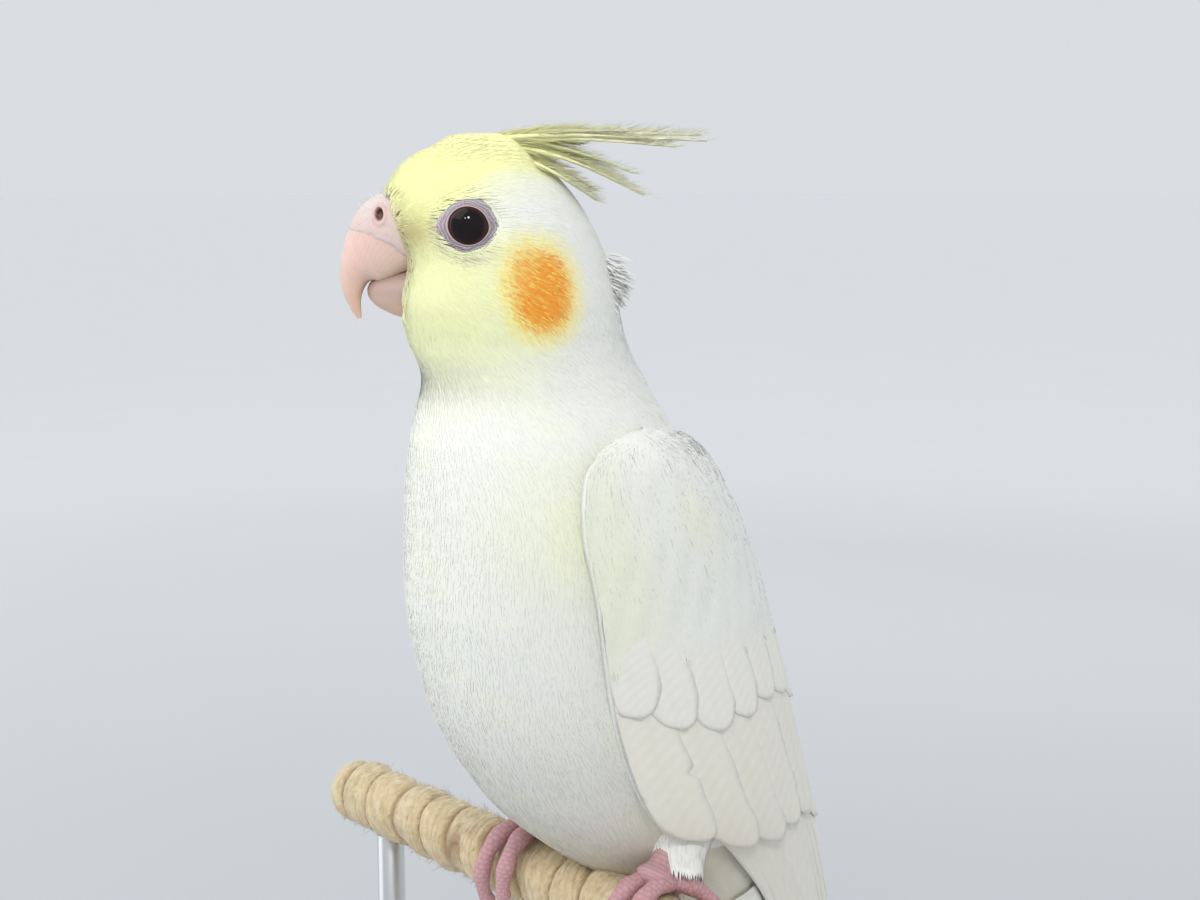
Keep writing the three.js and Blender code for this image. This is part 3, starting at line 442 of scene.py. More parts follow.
def barb_field(name, roots, along, normal, length, width, colours, uv, bend, stand=0.2, sunk=0.3,
        path=None, soft=True):
    """Fine closed barbs of three sides that lie along the skin, or along the points of a path."""
    count = len(roots)
    side = unit(np.cross(normal, along))
    length, width, bend = (np.asarray(v).reshape(-1, 1) for v in (length, width, bend))
    middle, tip = path or (roots + along * length * 0.5 - normal * bend * 0.25,
        roots + along * length - normal * bend)
    middle, tip = middle + normal * stand, tip + normal * stand * 0.6
    start = roots - normal * sunk
    half = width * 0.5
    ring = lambda p, k: [p - side * half * k, p + normal * half * k * 0.12, p + side * half * k]
    points = np.stack([*ring(start, 1.0), *ring(middle, 0.9), tip], 1)
    quads = np.array([[0, 1, 4, 3], [1, 2, 5, 4], [2, 0, 3, 5]])
    tris = np.array([[3, 4, 6], [4, 5, 6], [5, 3, 6], [2, 1, 0]])
    offset = (np.arange(count) * BARB_POINTS)[:, None, None]
    tint = np.repeat(np.asarray(colours), BARB_POINTS, 0)
    place = np.array([[-1, -1], [0, -1], [1, -1], [-1, 0], [0, 0], [1, 0], [0, 1]]) * PATCH
    uvs = (np.asarray(uv)[:, None, :] + place[None]).reshape(-1, 2)
    # The barbs are shaded as one soft surface, with a hint of each barb's own roundness.
    round_side = np.array([-1, 0, 1, -1, 0, 1, 0])[None, :, None] * side[:, None] * ROUND_SHADE
    forward = np.array([0, 0, 0, 0.05, 0.05, 0.05, 0.1])[None, :, None] * along[:, None]
    shading = unit(normal[:, None] + round_side + forward)
    quads, tris = (quads[None] + offset).reshape(-1, 4), (tris[None] + offset).reshape(-1, 3)
    return make_mesh(name, points.reshape(-1, 3), quads, tris, tint, uvs,
        normals=shading if soft else None)


def scatter(first, last, spacing):
    """Even, slightly jittered places on the body, as ring positions and angles."""
    fine = np.linspace(first, last, 400)
    at_side = np.full_like(fine, 0.5 * math.pi)
    steps = np.linalg.norm(np.diff(0.5 * (body_point(fine, 0 * fine) + body_point(fine, at_side * 2)),
        axis=0), axis=1)
    lengths = np.concatenate([[0], np.cumsum(np.maximum(steps, 1e-4))])
    rows = max(int(lengths[-1] / spacing), 2)
    positions, angles = [], []
    for row, position in enumerate(np.interp(np.linspace(0, lengths[-1], rows), lengths, fine)):
        turn = np.linspace(0, 2 * math.pi, 97)
        ring = body_point(np.full(97, position), turn)
        around = np.concatenate([[0], np.cumsum(np.linalg.norm(np.diff(ring, axis=0), axis=1))])
        count = max(int(around[-1] / spacing), 6)
        places = (np.arange(count) + 0.5 * (row % 2) + rng.uniform(-0.3, 0.3, count)) / count
        angles.append(np.interp((places % 1) * around[-1], around, turn))
        positions.append(np.clip(position + rng.uniform(-0.4, 0.4, count) * (last - first) / rows, first,
            last))
    return np.concatenate(positions), np.concatenate(angles)


def flow(position, angle, points, normal):
    """Which way the small feathers lie: down the body, and on the head away from the bill."""
    down = body_point(np.maximum(position - 0.05, 0), angle) - body_point(position, angle)
    down = unit(down)
    f, l, u = np.moveaxis(head_places(points), -1, 0)
    away = np.stack([f - 15.0, 0.6 * l, u + 2.0], -1)
    away[..., 2] -= 2.5 + 12.0 * ramp(-u, 10, 20) + 5.0 * ramp(-f, 8, 16)
    away[..., 0] -= 8.0 * ramp(u, 2, 9)
    away = unit(away) @ HEAD_AXES
    on_head = ramp(points[..., 2], 90, 103)[..., None]
    way = mix(down, away, on_head)
    way = way - normal * np.sum(way * normal, -1, keepdims=True)
    return unit(way)


def bare(points):
    """True where no small feather grows: at the bill, at the eyes and under the wings."""
    f, l, u = np.moveaxis(head_places(points), -1, 0)
    at_bill = (f > 11.4) & (np.abs(l) < 4.6) & (u > -14.0) & (u < 4.6)
    corner = np.where(f < EYE_AT[0], 5.0, 5.1)
    at_eye = (((f - EYE_AT[0]) / corner) ** 2 + ((u - EYE_AT[1]) / 4.1) ** 2 < 1) & (np.abs(l) > 6)
    x, y, z = np.abs(points[..., 0]), points[..., 1], points[..., 2]
    row = np.interp(-z, -WING_ROWS[:, 2], np.arange(len(WING_ROWS)))
    edges = smooth(WING_ROWS, row)
    under_wing = (z < 77) & (z > -50) & (y > edges[..., 1] + 3.5) & (x > edges[..., 3] + 3.0)
    at_slot = z < -50.5
    return at_bill | at_eye | under_wing | at_slot


def skin_path(position, angle, step):
    """Points of the skin half a step and a whole step from each place."""
    tiny = 0.01
    down = (skin_point(position + tiny, angle) - skin_point(position - tiny, angle)) / (2 * tiny)
    over = (skin_point(position, angle + tiny) - skin_point(position, angle - tiny)) / (2 * tiny)
    dot = lambda a, b: np.sum(a * b, -1)
    scale = np.maximum(dot(down, down) * dot(over, over) - dot(down, over) ** 2, 1e-6)
    rise = (dot(step, down) * dot(over, over) - dot(step, over) * dot(down, over)) / scale
    turn = (dot(step, over) * dot(down, down) - dot(step, down) * dot(down, over)) / scale
    rise, turn = np.clip(rise, -1.5, 1.5), np.clip(turn, -0.8, 0.8)
    reach = lambda share: skin_point(np.clip(position + rise * share, 0.03, CROWN - 0.03),
        angle + turn * share)
    return reach(0.5), reach(1.0)


def coat_part(name, first, last, spacing):
    """The small feathers between two ring positions of the body."""
    position, angle = scatter(first, last, spacing)
    points = skin_point(position, angle)
    keep = ~bare(points)
    position, angle, points = position[keep], angle[keep], points[keep]
    normal = body_normal(position, angle)
    along = flow(position, angle, points, normal)
    side = np.cross(normal, along)
    clump = 0.16 * ripple(points, 3.2, 41) + rng.normal(0, 0.07, len(points))
    along = unit(along + side * clump[:, None])
    on_head = ramp(points[..., 2], 82, 100)
    face = ramp(head_places(points)[..., 0], 2, 11) * on_head
    vary = rng.uniform(0.8, 1.2, len(points))
    length = mix(mix(3.6, 2.8, on_head), 1.8, face) * vary
    width = mix(0.38, 0.24, on_head) * vary ** 0.5
    spread = mix(0.15, 0.45, on_head) * rng.normal(0, 1, len(points))
    tips = points + along * length[:, None] * 0.6 + side * spread[:, None]
    colours = plumage(tips) * (1 + rng.normal(0, 0.012, (len(points), 1)))
    orange = ramp(0.78 - colours[:, 1], 0, 0.3) * on_head * (1 - face)
    colours = blend(colours, GOLD, orange * 0.75 * rng.random(len(points)) ** 2.5)
    colours = blend(colours, np.array([0.70, 0.19, 0.02]), orange * 0.5 * rng.random(len(points)) ** 3)
    path = skin_path(position, angle, along * length[:, None])
    uv = np.stack([angle / (2 * math.pi), position / CROWN], -1)
    piece = barb_field(name, points, along, normal, length, width, np.clip(colours, 0, 1), uv, 0, 0.03,
        0.12, path=path)
    return ride(piece, COAT, "plumage")


# Parts of the coat: from and to ring positions, and the spacing of the barbs.
COAT_PARTS = (
    ("coat_belly", 0.2, 6.3, 0.62), ("coat_breast", 6.3, 8.3, 0.52), ("coat_shoulders", 8.3, 10.2, 0.5),
    ("coat_neck", 10.2, 12.6, 0.52), ("coat_face", 12.6, 15.2, 0.42),
        ("coat_crown", 15.2, CROWN - 0.05, 0.4),
)

# The wings. Rows from the shoulder to the tip: lower front edge, upper back edge, and bulge.
WING_ROWS = np.array([
    (19, -5.4, 81.6, 17.5, -2.3, 82, 0.8),
    (21.4, -15, 77.4, 11.5, 12.5, 78.7, 6.6),
    (23.2, -17.5, 68, 8.5, 22, 69, 9.8),
    (24.4, -15.8, 57, 5.5, 28, 58, 12),
    (24.8, -14.2, 46, 4, 32.5, 46, 13.4),
    (24.6, -10.6, 33, 2.8, 37, 33, 14.2),
    (23.8, -3.9, 20, 2, 41, 19.5, 14),
    (22.2, 8.2, 7, 1.6, 45, 6, 12.3),
    (19.6, 21, -8, 1.4, 49.3, -9, 9.6),
    (16, 33.5, -25, 1.2, 53.5, -26, 5.8),
    (12.2, 45.5, -47, 1.2, 58.5, -48, 2.8),
    (7.6, 62, -72, 1.2, 67, -73, 0.9),
    (4.6, 68.6, -86, 1.8, 71, -86, 0.3),
], float)
WING_END = len(WING_ROWS) - 1


def wing_point(row, across):
    values = smooth(WING_ROWS, row)
    front, back, bulge = values[..., :3], values[..., 3:6], values[..., 6]
    chord = back - front
    out = unit(np.stack([chord[..., 1], -chord[..., 0], 0 * bulge], -1))
    skewed = np.clip(across, 0, 1) ** WING_SKEW
    rise = np.maximum(4 * skewed * (1 - skewed), 0) ** 0.85
    return front + chord * across[..., None] + out * (bulge * rise)[..., None]


def wing_out(row, across):
    step = 0.05
    inner = np.clip(across, step, 1 - step)
    down = wing_point(np.minimum(row + step, WING_END), inner) - wing_point(np.maximum(row - step, 0),
        inner)
    over = wing_point(row, inner + step) - wing_point(row, inner - step)
    return unit(np.cross(down, over))


def build_wing_core(hand):
    """The wing's body, which sinks away under the large feathers."""
    rows, columns = 60, 40
    row = np.linspace(0.1, 6.7, rows)[:, None] + np.zeros((1, columns))
    across = np.linspace(0.0, 1.0, columns)[None, :] + np.zeros((rows, 1))
    depth = mix(0.15, 2.4, ramp(row, 3.4, 5.4))[..., None]
    top = wing_point(row, across) - wing_out(row, across) * depth
    under = wing_point(row, across) - wing_out(row, across) * (depth + 1.6)
    ring = np.concatenate([top, under[:, ::-1]], 1)
    colours = np.broadcast_to(WHITE * 0.97, ring.shape)
    ring = ring * np.array([hand, 1, 1])
    if hand < 0:
        ring = ring[:, ::-1]
    return tube_mesh("wing_core_" + SIDES[hand], ring, colours)


def vane(place, thick, shape, colour, notch=0.0, seed=0, rows=22, columns=9, shaft=0.16, camber=0.35,
        roll=0.0):
    """One large feather as points and faces. place(t, s) gives the middle sheet and its normal."""
    gen = np.random.default_rng(seed)
    t = np.linspace(0, 1, rows)[:, None] + np.zeros((1, columns))
    s = np.linspace(-1, 1, columns)[None, :] + np.zeros((rows, 1))
    reach = shape(t)
    wave = 1 + 0.03 * np.sin(17 * t + gen.uniform(0, 6)) + 0.02 * np.sin(41 * t + gen.uniform(0, 6))
    split = gen.uniform(0.45, 0.95, 2)
    for k, at in enumerate(split):
        edge = s > 0 if k else s < 0
        reach = np.where(edge, reach * (1 - notch * np.exp(-((t - at) / 0.012) ** 2)), reach)
    base, out = place(t, s * reach * wave)
    lift = camber * (1 - s ** 2) + roll * s * ramp(t, 0.1,
        0.6) + shaft * np.exp(-(s / 0.09) ** 2) * (1 - 0.6 * t)
    top = base + out * (lift + thick / 2)[..., None]
    low = base + out * (lift * 0.8 - thick / 2)[..., None]
    points = np.concatenate([top.reshape(-1, 3), low.reshape(-1, 3)])
    quads = grid_quads(rows, columns)
    size = rows * columns
    under = quads[:, ::-1] + size
    rim = np.concatenate([
        np.arange(columns), np.arange(1, rows) * columns + columns - 1,
        (rows - 1) * columns + np.arange(columns - 2, -1, -1), np.arange(rows - 2, 0, -1) * columns,
    ])
    after = np.roll(rim, -1)
    edge = np.stack([rim, rim + size, after + size, after], -1)
    tint = colour(t, s)
    return points, np.concatenate([quads, under, edge]), np.concatenate([tint.reshape(-1, 3)] * 2)


def joined_mesh(name, parts, mirror=1):
    """One mesh from the points, faces and colours of several vanes."""
    points, quads, tints, offset = [], [], [], 0
    for p, q, c in parts:
        points.append(p)
        quads.append(q + offset)
        tints.append(c)
        offset += len(p)
    points = np.concatenate(points) * np.array([mirror, 1, 1])
    quads = np.concatenate(quads)
    if mirror < 0:
        quads = quads[:, ::-1]
    return make_mesh(name, points, quads, None, np.concatenate(tints))


def rounded(t):
    return (0.5 + 0.5 * ramp(t, 0, 0.25)) * np.sqrt(np.clip(1 - np.maximum(t - 0.72, 0) ** 2 / 0.0795,
        0.003, 1))


def pointed(t):
    return (0.55 + 0.45 * ramp(t, 0, 0.4)) * np.clip(1 - t ** 7, 0.004, 1) ** 0.7


def feather_tint(shade, warm=0.0):
    """White with painted shade: a faint grey base where the feather lies under the next ones, and a slightly
    darker rim; and a pale shaft.
    """
    def tint(t, s):
        colour = np.broadcast_to(WHITE * shade, t.shape + (3,)).copy()
        # Painted shade: the base is greyed where the next feathers lie over it.
        colour = blend(colour, COOL_SHADE, 0.1 * (1 - ramp(t, 0.1, 0.7)))
        colour = blend(colour, BEIGE * 1.1, warm + 0 * t)
        colour = blend(colour, BEIGE * 0.95, 0.1 * np.exp(-(s / 0.08) ** 2))
        # Painted shade: the rim and the tip are painted a little darker.
        rim = ramp(np.abs(s), 0.82, 1) + ramp(t, 0.93, 1)
        colour = blend(colour, COOL_SHADE * 0.85, 0.12 * rim)
        fine = 1 + 0.025 * np.sin(90 * t + 9 * np.abs(s))
        return np.clip(colour * fine[..., None], 0, 1)
    return tint


def wing_feather(root, tip, root_across, tip_across, half, root_lift, tip_lift, seed, shape=rounded,
        thick=0.28, warm=0.0, rows=22, **more):
    gen = np.random.default_rng(seed)
    sway = gen.normal(0, 0.012)

    def place(t, offset):
        row = mix(root, tip, t)
        across = mix(root_across, tip_across, t) + sway * np.sin(math.pi * t)
        ends = smooth(WING_ROWS, row)
        span = np.maximum(np.linalg.norm(ends[..., 3:6] - ends[..., :3], axis=-1), 4.0)
        spot = np.clip(across + offset * half / span, 0.0, 1.0)
        over = (across + offset * half / span) - spot
        out = wing_out(row, spot)
        side = unit(ends[..., 3:6] - ends[..., :3])
        base = wing_point(row, spot) + side * (over * span)[..., None] * 0.3
        return base + out * mix(root_lift, tip_lift, t)[..., None], out

    shade = gen.uniform(0.97, 1.02)
    return vane(place, thick, shape, feather_tint(shade, warm), notch=gen.choice([0.0, 0.25, 0.45]),
        seed=seed, rows=rows, **more)


# Tiers: how many, rows of root and tip, span across the wing, half width, lift and slant of the tips.
WING_TIERS = (
    (8, 4.0, 6.9, 0.09, 0.93, 4.9, 0.12, 0.5),
    (9, 2.9, 5.0, 0.05, 0.95, 4.3, 0.16, 0.3),
)
PRIMARIES = 9


def build_wing(hand):
    parts = []
    for i in range(PRIMARIES):
        share = i / (PRIMARIES - 1)
        parts.append(wing_feather(
            5.2, mix(8.0, WING_END - 0.1, 1 - (1 - share) ** 1.5), mix(0.74, 0.10, share),
                mix(0.72, 0.5, share),
            mix(4.6, 3.6, share), -1.0 - 0.12 * i, -0.25 - 0.17 * i, 100 + i, pointed, 0.3, warm=0.4,
                rows=40, camber=0.25))
    for tier, (count, root, tip, start, end, half, lift, skew) in enumerate(WING_TIERS):
        for i in range(count):
            share = i / (count - 1)
            across = mix(start, end, min(share, 1))
            late = skew * (1 - share) + 0.13 * math.sin(5.1 * i + tier) + 0.06 * math.sin(11.3 * i)
            parts.append(wing_feather(
                root, tip - late, across, across, half, -0.7, lift, 1000 * hand + 200 * tier + i + 5000,
                thick=0.14, warm=(0.4, 0.25)[tier], rows=30, shaft=0.06, camber=0.26, roll=0.16))
    return joined_mesh("wing_feathers_" + SIDES[hand], parts, hand)


def wing_places(count_rows, first, last, spacing, edge_room):
    """Jittered places over the wing's outer surface, as rows and shares across it."""
    rows, shares = [], []
    for number, row in enumerate(np.linspace(first, last, count_rows)):
        edge = wing_point(np.full(60, row), np.linspace(0, 1, 60))
        span = np.linalg.norm(np.diff(edge, axis=0), axis=1).sum()
        count = max(int(span / spacing), 4)
        share = (np.arange(count) + 0.5 * (number % 2) + rng.uniform(-0.25, 0.25, count)) / count
        rows.append(row + rng.uniform(-0.45, 0.45, count) * (last - first) / count_rows)
        shares.append(mix(edge_room, 1 - 0.4 * edge_room, share % 1))
    return np.clip(np.concatenate(rows), 0.05, WING_END), np.concatenate(shares)


def tufts(points):
    """Low soft lumps, as small feathers lie over each other in tufts."""
    return 0.24 * ripple(points * np.array([1, 1, 0.6]), 4.2, 44)


def wing_cover(name, hand, count_rows, first, last, spacing, edge_room, length, width, lift, turn,
        **shape):
    """Small feathers over the wing, each lying down its length."""
    row, share = wing_places(count_rows, first, last, spacing, edge_room)
    normal = wing_out(row, share)
    start = wing_point(row, share)
    slope = np.stack([(tufts(start + 0.5 * axis) - tufts(start)) / 0.5 for axis in np.eye(3)], -1)
    facing = unit(normal - slope + normal * (slope * normal).sum(-1, keepdims=True))
    roots = start + normal * (lift + tufts(start))[:, None]
    along = unit(wing_point(np.minimum(row + 0.1, WING_END), share) - wing_point(row, share))
    along = unit(along + np.cross(normal, along) * rng.normal(0, turn, (len(row), 1)))
    size = mix(0.72, 1.25, row / 4.5) * rng.uniform(0.85, 1.15, len(row))
    speed = np.linalg.norm(wing_point(np.minimum(row + 0.1, WING_END), share) - wing_point(row, share),
        axis=-1) / 0.1
    drift = np.cross(normal, along) * (rng.normal(0, turn, len(row)) * length * size)[:, None]
    reach = [wing_point(np.minimum(row + part * length * size / speed, WING_END),
        share) + drift * part for part in (0.5, 1.0)]
    tint = WHITE * (1 + rng.normal(0, 0.012, (len(row), 1)))
    front = np.exp(-((share - 0.05) / 0.14) ** 2) * np.exp(-((row - 2.4) / 1.8) ** 2)
    patch = np.exp(-((share - 0.42) / 0.10) ** 2 - ((row - 1.9) / 0.5) ** 2)
    tint = blend(tint, PALE_YELLOW, 0.3 * front + 0.22 * patch)
    mirror = np.array([hand, 1, 1])
    uv = np.stack([0.1 + 0.3 * share + 0.45 * (hand < 0), 0.1 + row / 12.0], -1)
    piece = barb_field(
        name + "_" + SIDES[hand], roots * mirror, along * mirror, facing * mirror, length * size,
            width * size, np.clip(tint, 0, 1), uv, 0,
        path=[(part + normal * (lift + tufts(part))[:, None]) * mirror for part in reach], **shape)
    return ride(piece, COAT, "plumage")


# The tail.
TAIL_ROOT = np.array([0, 32.3, -14.7])
TAIL_SLOPE = math.radians(25)
TAIL_ALONG = np.array([0, math.sin(TAIL_SLOPE), -math.cos(TAIL_SLOPE)])
TAIL_UP = np.array([0, math.cos(TAIL_SLOPE), math.sin(TAIL_SLOPE)])
TAIL_PAIRS, TAIL_LONGEST, TAIL_SHORTEST, TAIL_HALF, TAIL_SPREAD = 6, 154.0, 92.0, 5.6, 3.6


def build_tail():
    parts = []
    for pair in range(TAIL_PAIRS):
        share = pair / (TAIL_PAIRS - 1)
        length = mix(TAIL_LONGEST, TAIL_SHORTEST, share ** 0.8)
        for hand in (1, -1):
            splay = math.radians(TAIL_SPREAD) * share * hand
            along = TAIL_ALONG * math.cos(splay) + np.array([math.sin(splay), 0, 0])
            side = unit(np.cross(along, TAIL_UP))
            sink = -0.56 * pair - 0.24 * (hand > 0)
            start = TAIL_ROOT + TAIL_UP * sink + np.array([hand * (0.6 + 0.4 * pair), 0, 0])
            bow = 2.5 * (length / TAIL_LONGEST) ** 2
            half = TAIL_HALF * (1 - 0.1 * share)

            def place(t, offset, start=start, along=along, side=side, bow=bow, half=half, length=length):
                base = start + along * (length * t)[..., None] + side * (half * offset)[..., None]
                return base - TAIL_UP * (bow * t * t)[..., None], np.broadcast_to(TAIL_UP, t.shape + (3,))

            shape = lambda t: np.minimum(0.34 + 2.4 * t, 0.82 + 0.3 * t) * np.clip(1 - t ** 7, 0.01,
                1) ** 0.75
            parts.append(vane(place, 0.3, shape, feather_tint(0.96, 0.6), 0.2, 40 + 2 * pair + hand, 46,
                9, 0.25, 0.3))
    return joined_mesh("tail_feathers", parts)


def build_tail_coverts():
    """Feathers that close the body's end over the root of the tail, above and below."""
    parts = []
    for tier, (start, reach,
        lift) in enumerate(((1.1, 60.0, 0.1), (2.1, 46.0, 0.3), (3.2, 30.0, 0.5), (4.1, 16.0, 0.6))):
        count = 16
        for number in range(count):
            angle = np.array(2 * math.pi * (number + 0.5 * tier) / count)
            above, aside = -math.cos(angle), math.sin(angle)
            root = body_point(np.array(start), angle, -0.4)
            turn = body_point(np.array(0.1), angle, 0.5)
            high = 1.2 * above if above > 0 else 4.6 * above
            end = (
                TAIL_ROOT + TAIL_ALONG * (reach + 7 * abs(above)) + TAIL_UP * high
                + np.array([6.2 * aside, 0, 0]))
            outward = np.array([aside, 0, 0])
            out = unit(body_normal(np.array(start), angle) + unit(TAIL_UP * above + outward))
            side = unit(np.cross(unit(end - root), out))

            def place(t, offset, root=root, turn=turn, end=end, out=out, side=side, lift=lift):
                t1 = t[..., None]
                middle = root * (1 - t1) ** 2 + turn * 2 * t1 * (1 - t1) + end * t1 ** 2
                return middle + side * (4.8 * offset)[...,
                    None] + out * lift * t1 * (2 - 2 * t1), np.broadcast_to(out, t.shape + (3,))

            parts.append(vane(place, 0.18, rounded, feather_tint(0.99, 0.12),
                seed=700 + 20 * tier + number, rows=18, columns=7, shaft=0.05, camber=0.3))
    return joined_mesh("tail_coverts", parts)


# The crest.
CREST = (
    (10, 0.5, 9.8, -34.8, 1.4, 12.9, 3.3, 2.3), (9, -0.8, 10.3, -33.4, -1.6, 14.0, 2.7, 2.3),
    (6, -2.2, 10.8, -27, -3.2, 12.6, 2.9, 2.1), (8, 1.6, 10.2, -29.8, 2.4, 12.0, 3.2, 2.1),
    (4, 0.3, 11.6, -22, 0.8, 14.4, 2.0, 2.0), (3, 2.6, 10.8, -24.8, 3.4, 4.6, 4.4, 2.0),
    (2, -2.6, 11.0, -23, -3.8, 5.6, 4.2, 2.0), (1, 1.4, 11.4, -20.4, 2.2, 7.4, 3.2, 1.9),
    (0, -1.2, 11.6, -18.6, -1.4, 8.6, 2.6, 1.9), (0, 3.4, 10.2, -17.4, 4.8, 3.8, 3.2, 1.8),
    (0, -3.4, 10.4, -17, -5.2, 4.2, 3.2, 1.8), (5, 1.2, 11.2, -18, 1.8, 13.2, 2.2, 1.9),
    (7, -1.6, 10.7, -24, -2.2, 13.6, 2.5, 1.9), (2, 0.4, 11.6, -15, 0.4, 12.4, 1.6, 1.8),
)


def crest_tint(t, s):
    colour = np.broadcast_to(YELLOW, t.shape + (3,)).copy()
    return blend(colour, np.array([0.93, 0.92, 0.70]), 0.85 * ramp(t, 0.35, 0.95) + 0.15 * np.abs(s))


def crest_rows():
    """The crest's named feathers, then finer ones between neighbours."""
    rows = [np.array(row, float) for row in CREST]
    for low, high in zip(CREST[:-1], CREST[1:]):
        share = rng.uniform(0.3, 0.7)
        row = mix(np.array(low, float), np.array(high, float), share)
        row[:6] += rng.normal(0, 0.35, 6)
        row[0] -= 1.5
        row[7] *= 0.8
        rows.append(row)
    return rows


def build_crest():
    parts, barbs = [], []
    for number, row in enumerate(crest_rows()):
        start, end = in_head(row[:3]), in_head(row[3:6])
        rise, half = row[6], row[7]
        chord = end - start
        way = unit(chord)
        flat = unit(np.cross([0, 0, 1.0], chord))
        tilt = math.radians(34) * (1 if row[1] > 0 else -1)
        side = flat * math.cos(tilt) + np.cross(way, flat) * math.sin(tilt)
        out = unit(np.cross(chord, side))

        def middle(t, start=start, chord=chord, rise=rise):
            arch = rise * 4 * t * (1 - t) * (1 - 0.55 * t)
            return start + chord * t[..., None] + np.array([0, 0, 1.0]) * arch[..., None]

        def place(t, offset, middle=middle, side=side, out=out, half=half):
            return middle(t) + side * (offset * half)[..., None], np.broadcast_to(out, t.shape + (3,))

        reach = lambda t: np.maximum(0.5 + 1.3 * t - 1.76 * t ** 2.4, 0.02)
        parts.append(vane(place, 0.1, lambda t: 0.25 * reach(t), crest_tint, 0.5, 300 + number, 34, 7,
            0.08, 0.12))
        count = 330
        t = np.sort(rng.uniform(0.03, 0.985, count))
        hand = rng.choice([-1.0, 1.0], count)
        roots = middle(t) + side * (hand * reach(t) * half * 0.3)[:, None]
        spread = mix(0.42, 0.16, t) * rng.uniform(0.6, 1.3, count)
        along = unit(way + side * (hand * spread)[:, None] + out * rng.normal(0, 0.06,
            (count, 1)) + np.array([0, 0, 0.12]) * t[:, None])
        length = mix(6.4, 3.2, t) * rng.uniform(0.6, 1.15, count) * min(half / 2.2, 1)
        barbs.append((roots, along, np.broadcast_to(out, roots.shape), length,
            crest_tint(t, 0.5 + 0 * t)))
    roots, along, normal, length, tint = (np.concatenate(v) for v in zip(*barbs))
    crest = joined_mesh("crest_feathers", parts)
    ride(crest, FEATHER, "crest_plumage", "crest")
    uv = np.stack([rng.uniform(0.4, 0.6, len(roots)), np.full(len(roots), 0.98)], -1)
    width = rng.uniform(0.07, 0.12, len(roots))
    loose = barb_field("crest_barbs", roots, along, normal, length, width, tint, uv, -0.02 * length, 0.0,
        0.0, soft=False)
    ride(loose, COAT, "crest_plumage")


def tuft(name, start, way, normal, spread, count, length, width, tint, bend):
    """A loose bunch of small feathers about one place."""
    roots = start + rng.normal(0, 1, (count, 3)) * spread
    along = unit(way + rng.normal(0, 0.24, (count, 3)))
    reach = length * rng.uniform(0.7, 1.15, count)
    uv = np.stack([rng.uniform(0.45, 0.55, count), np.full(count, 0.7)], -1)
    colours = tint * (1 + rng.normal(0, 0.015, (count, 1)))
    piece = barb_field(name, roots, along, np.broadcast_to(unit(normal), roots.shape), reach,
        np.full(count, width), np.clip(colours, 0, 1), uv, bend * reach)
    return ride(piece, COAT, "plumage")


def build_tufts():
    """A ruffled bunch at the nape."""
    tuft(
        "nape_tuft", in_head([-18.6, 1.5, -8.0]), np.array([-0.85, 0.15, -0.5]) @ HEAD_AXES,
            np.array([-0.3, 0.8, 0.5]) @ HEAD_AXES,
        np.array([0.4, 0.8, 1.3]), 420, 4.2, 0.4, WHITE, 0.08)


# The bill: outer and inner profile points and half width. The cere's swelling is part of its root.
UPPER_BILL = np.array([
    (12.9, 4.7, 9.6, -5.8, 4.6), (15.4, 4.8, 11.2, -6.8, 5.0), (17.5, 4.0, 12.8, -7.5, 5.0),
    (19.4, 2.3, 14.2, -8.2, 4.9), (20.7, 0.2, 15.2, -8.6, 4.6), (21.6, -2.3, 16.2, -8.8, 4.2),
    (22.4, -5.2, 17.7, -8.6, 3.5), (22.6, -8.0, 18.7, -9.4, 2.7), (22.1, -10.6, 19.4, -11.1, 1.9),
    (21.1, -12.9, 19.5, -12.8, 1.15), (20.0, -14.6, 19.4, -14.4, 0.4),
])
LOWER_BILL = np.array([
    (9.2, -6.6, 11.6, -14.6, 4.0), (12.2, -7.0, 13.6, -14.2, 4.1), (14.8, -7.4, 15.2, -13.6, 3.7),
    (16.8, -8.0, 16.8, -12.7, 3.0), (17.9, -8.8, 17.8, -11.8, 2.0), (18.4, -9.8, 18.3, -10.9, 0.9),
])
CERE_EDGE = ((11.0, 12.5, 14.8, 17.2, 20.8, 22.0), (-5.0, -4.3, -2.8, -1.5, -0.6, -0.5))
NOSTRIL = (16.0, 1.7)


def bill_rings(rows, steps, sides, skew=0.0, last=None):
    position = np.linspace(0, last or len(rows) - 1, steps)[:, None]
    angle = circle(sides)
    values = smooth(rows, position[:, 0])[:, None, :]
    share = 0.5 + 0.5 * np.cos(angle)
    forward = mix(values[..., 2], values[..., 0], share)
    up = mix(values[..., 3], values[..., 1], share)
    round_side = np.sign(np.sin(angle)) * np.abs(np.sin(angle)) ** 0.86
    wide = values[..., 4] * round_side * (1 - skew * np.cos(angle))
    return np.stack([forward, wide, up], -1), position / (len(rows) - 1) + 0 * angle, angle + 0 * position


def grid_normals(rings):
    """Unit normals of a closed grid of points, out of the tube."""
    around = np.roll(rings, -1, 1) - np.roll(rings, 1, 1)
    normal = unit(np.cross(around, np.gradient(rings, axis=0)))
    outward = rings - rings.mean(1, keepdims=True)
    return normal * np.sign(np.sum(normal * outward, -1).mean())


def nostril_dent(places, rim_height):
    """How far the nostril sinks at places of the head, and how strong it and its rim are."""
    f, l, u = np.moveaxis(places, -1, 0)
    near = np.sqrt(((f - NOSTRIL[0]) / 0.62) ** 2 + ((u - NOSTRIL[1]) / 1.0) ** 2)
    at_side = ramp(np.abs(l), 1.5, 3)
    hole = (1 - ramp(near, 0.72, 1.12)) * at_side
    rim = np.exp(-((near - 1.5) / 0.4) ** 2) * at_side
    return 1.9 * hole - rim_height * rim, hole, rim


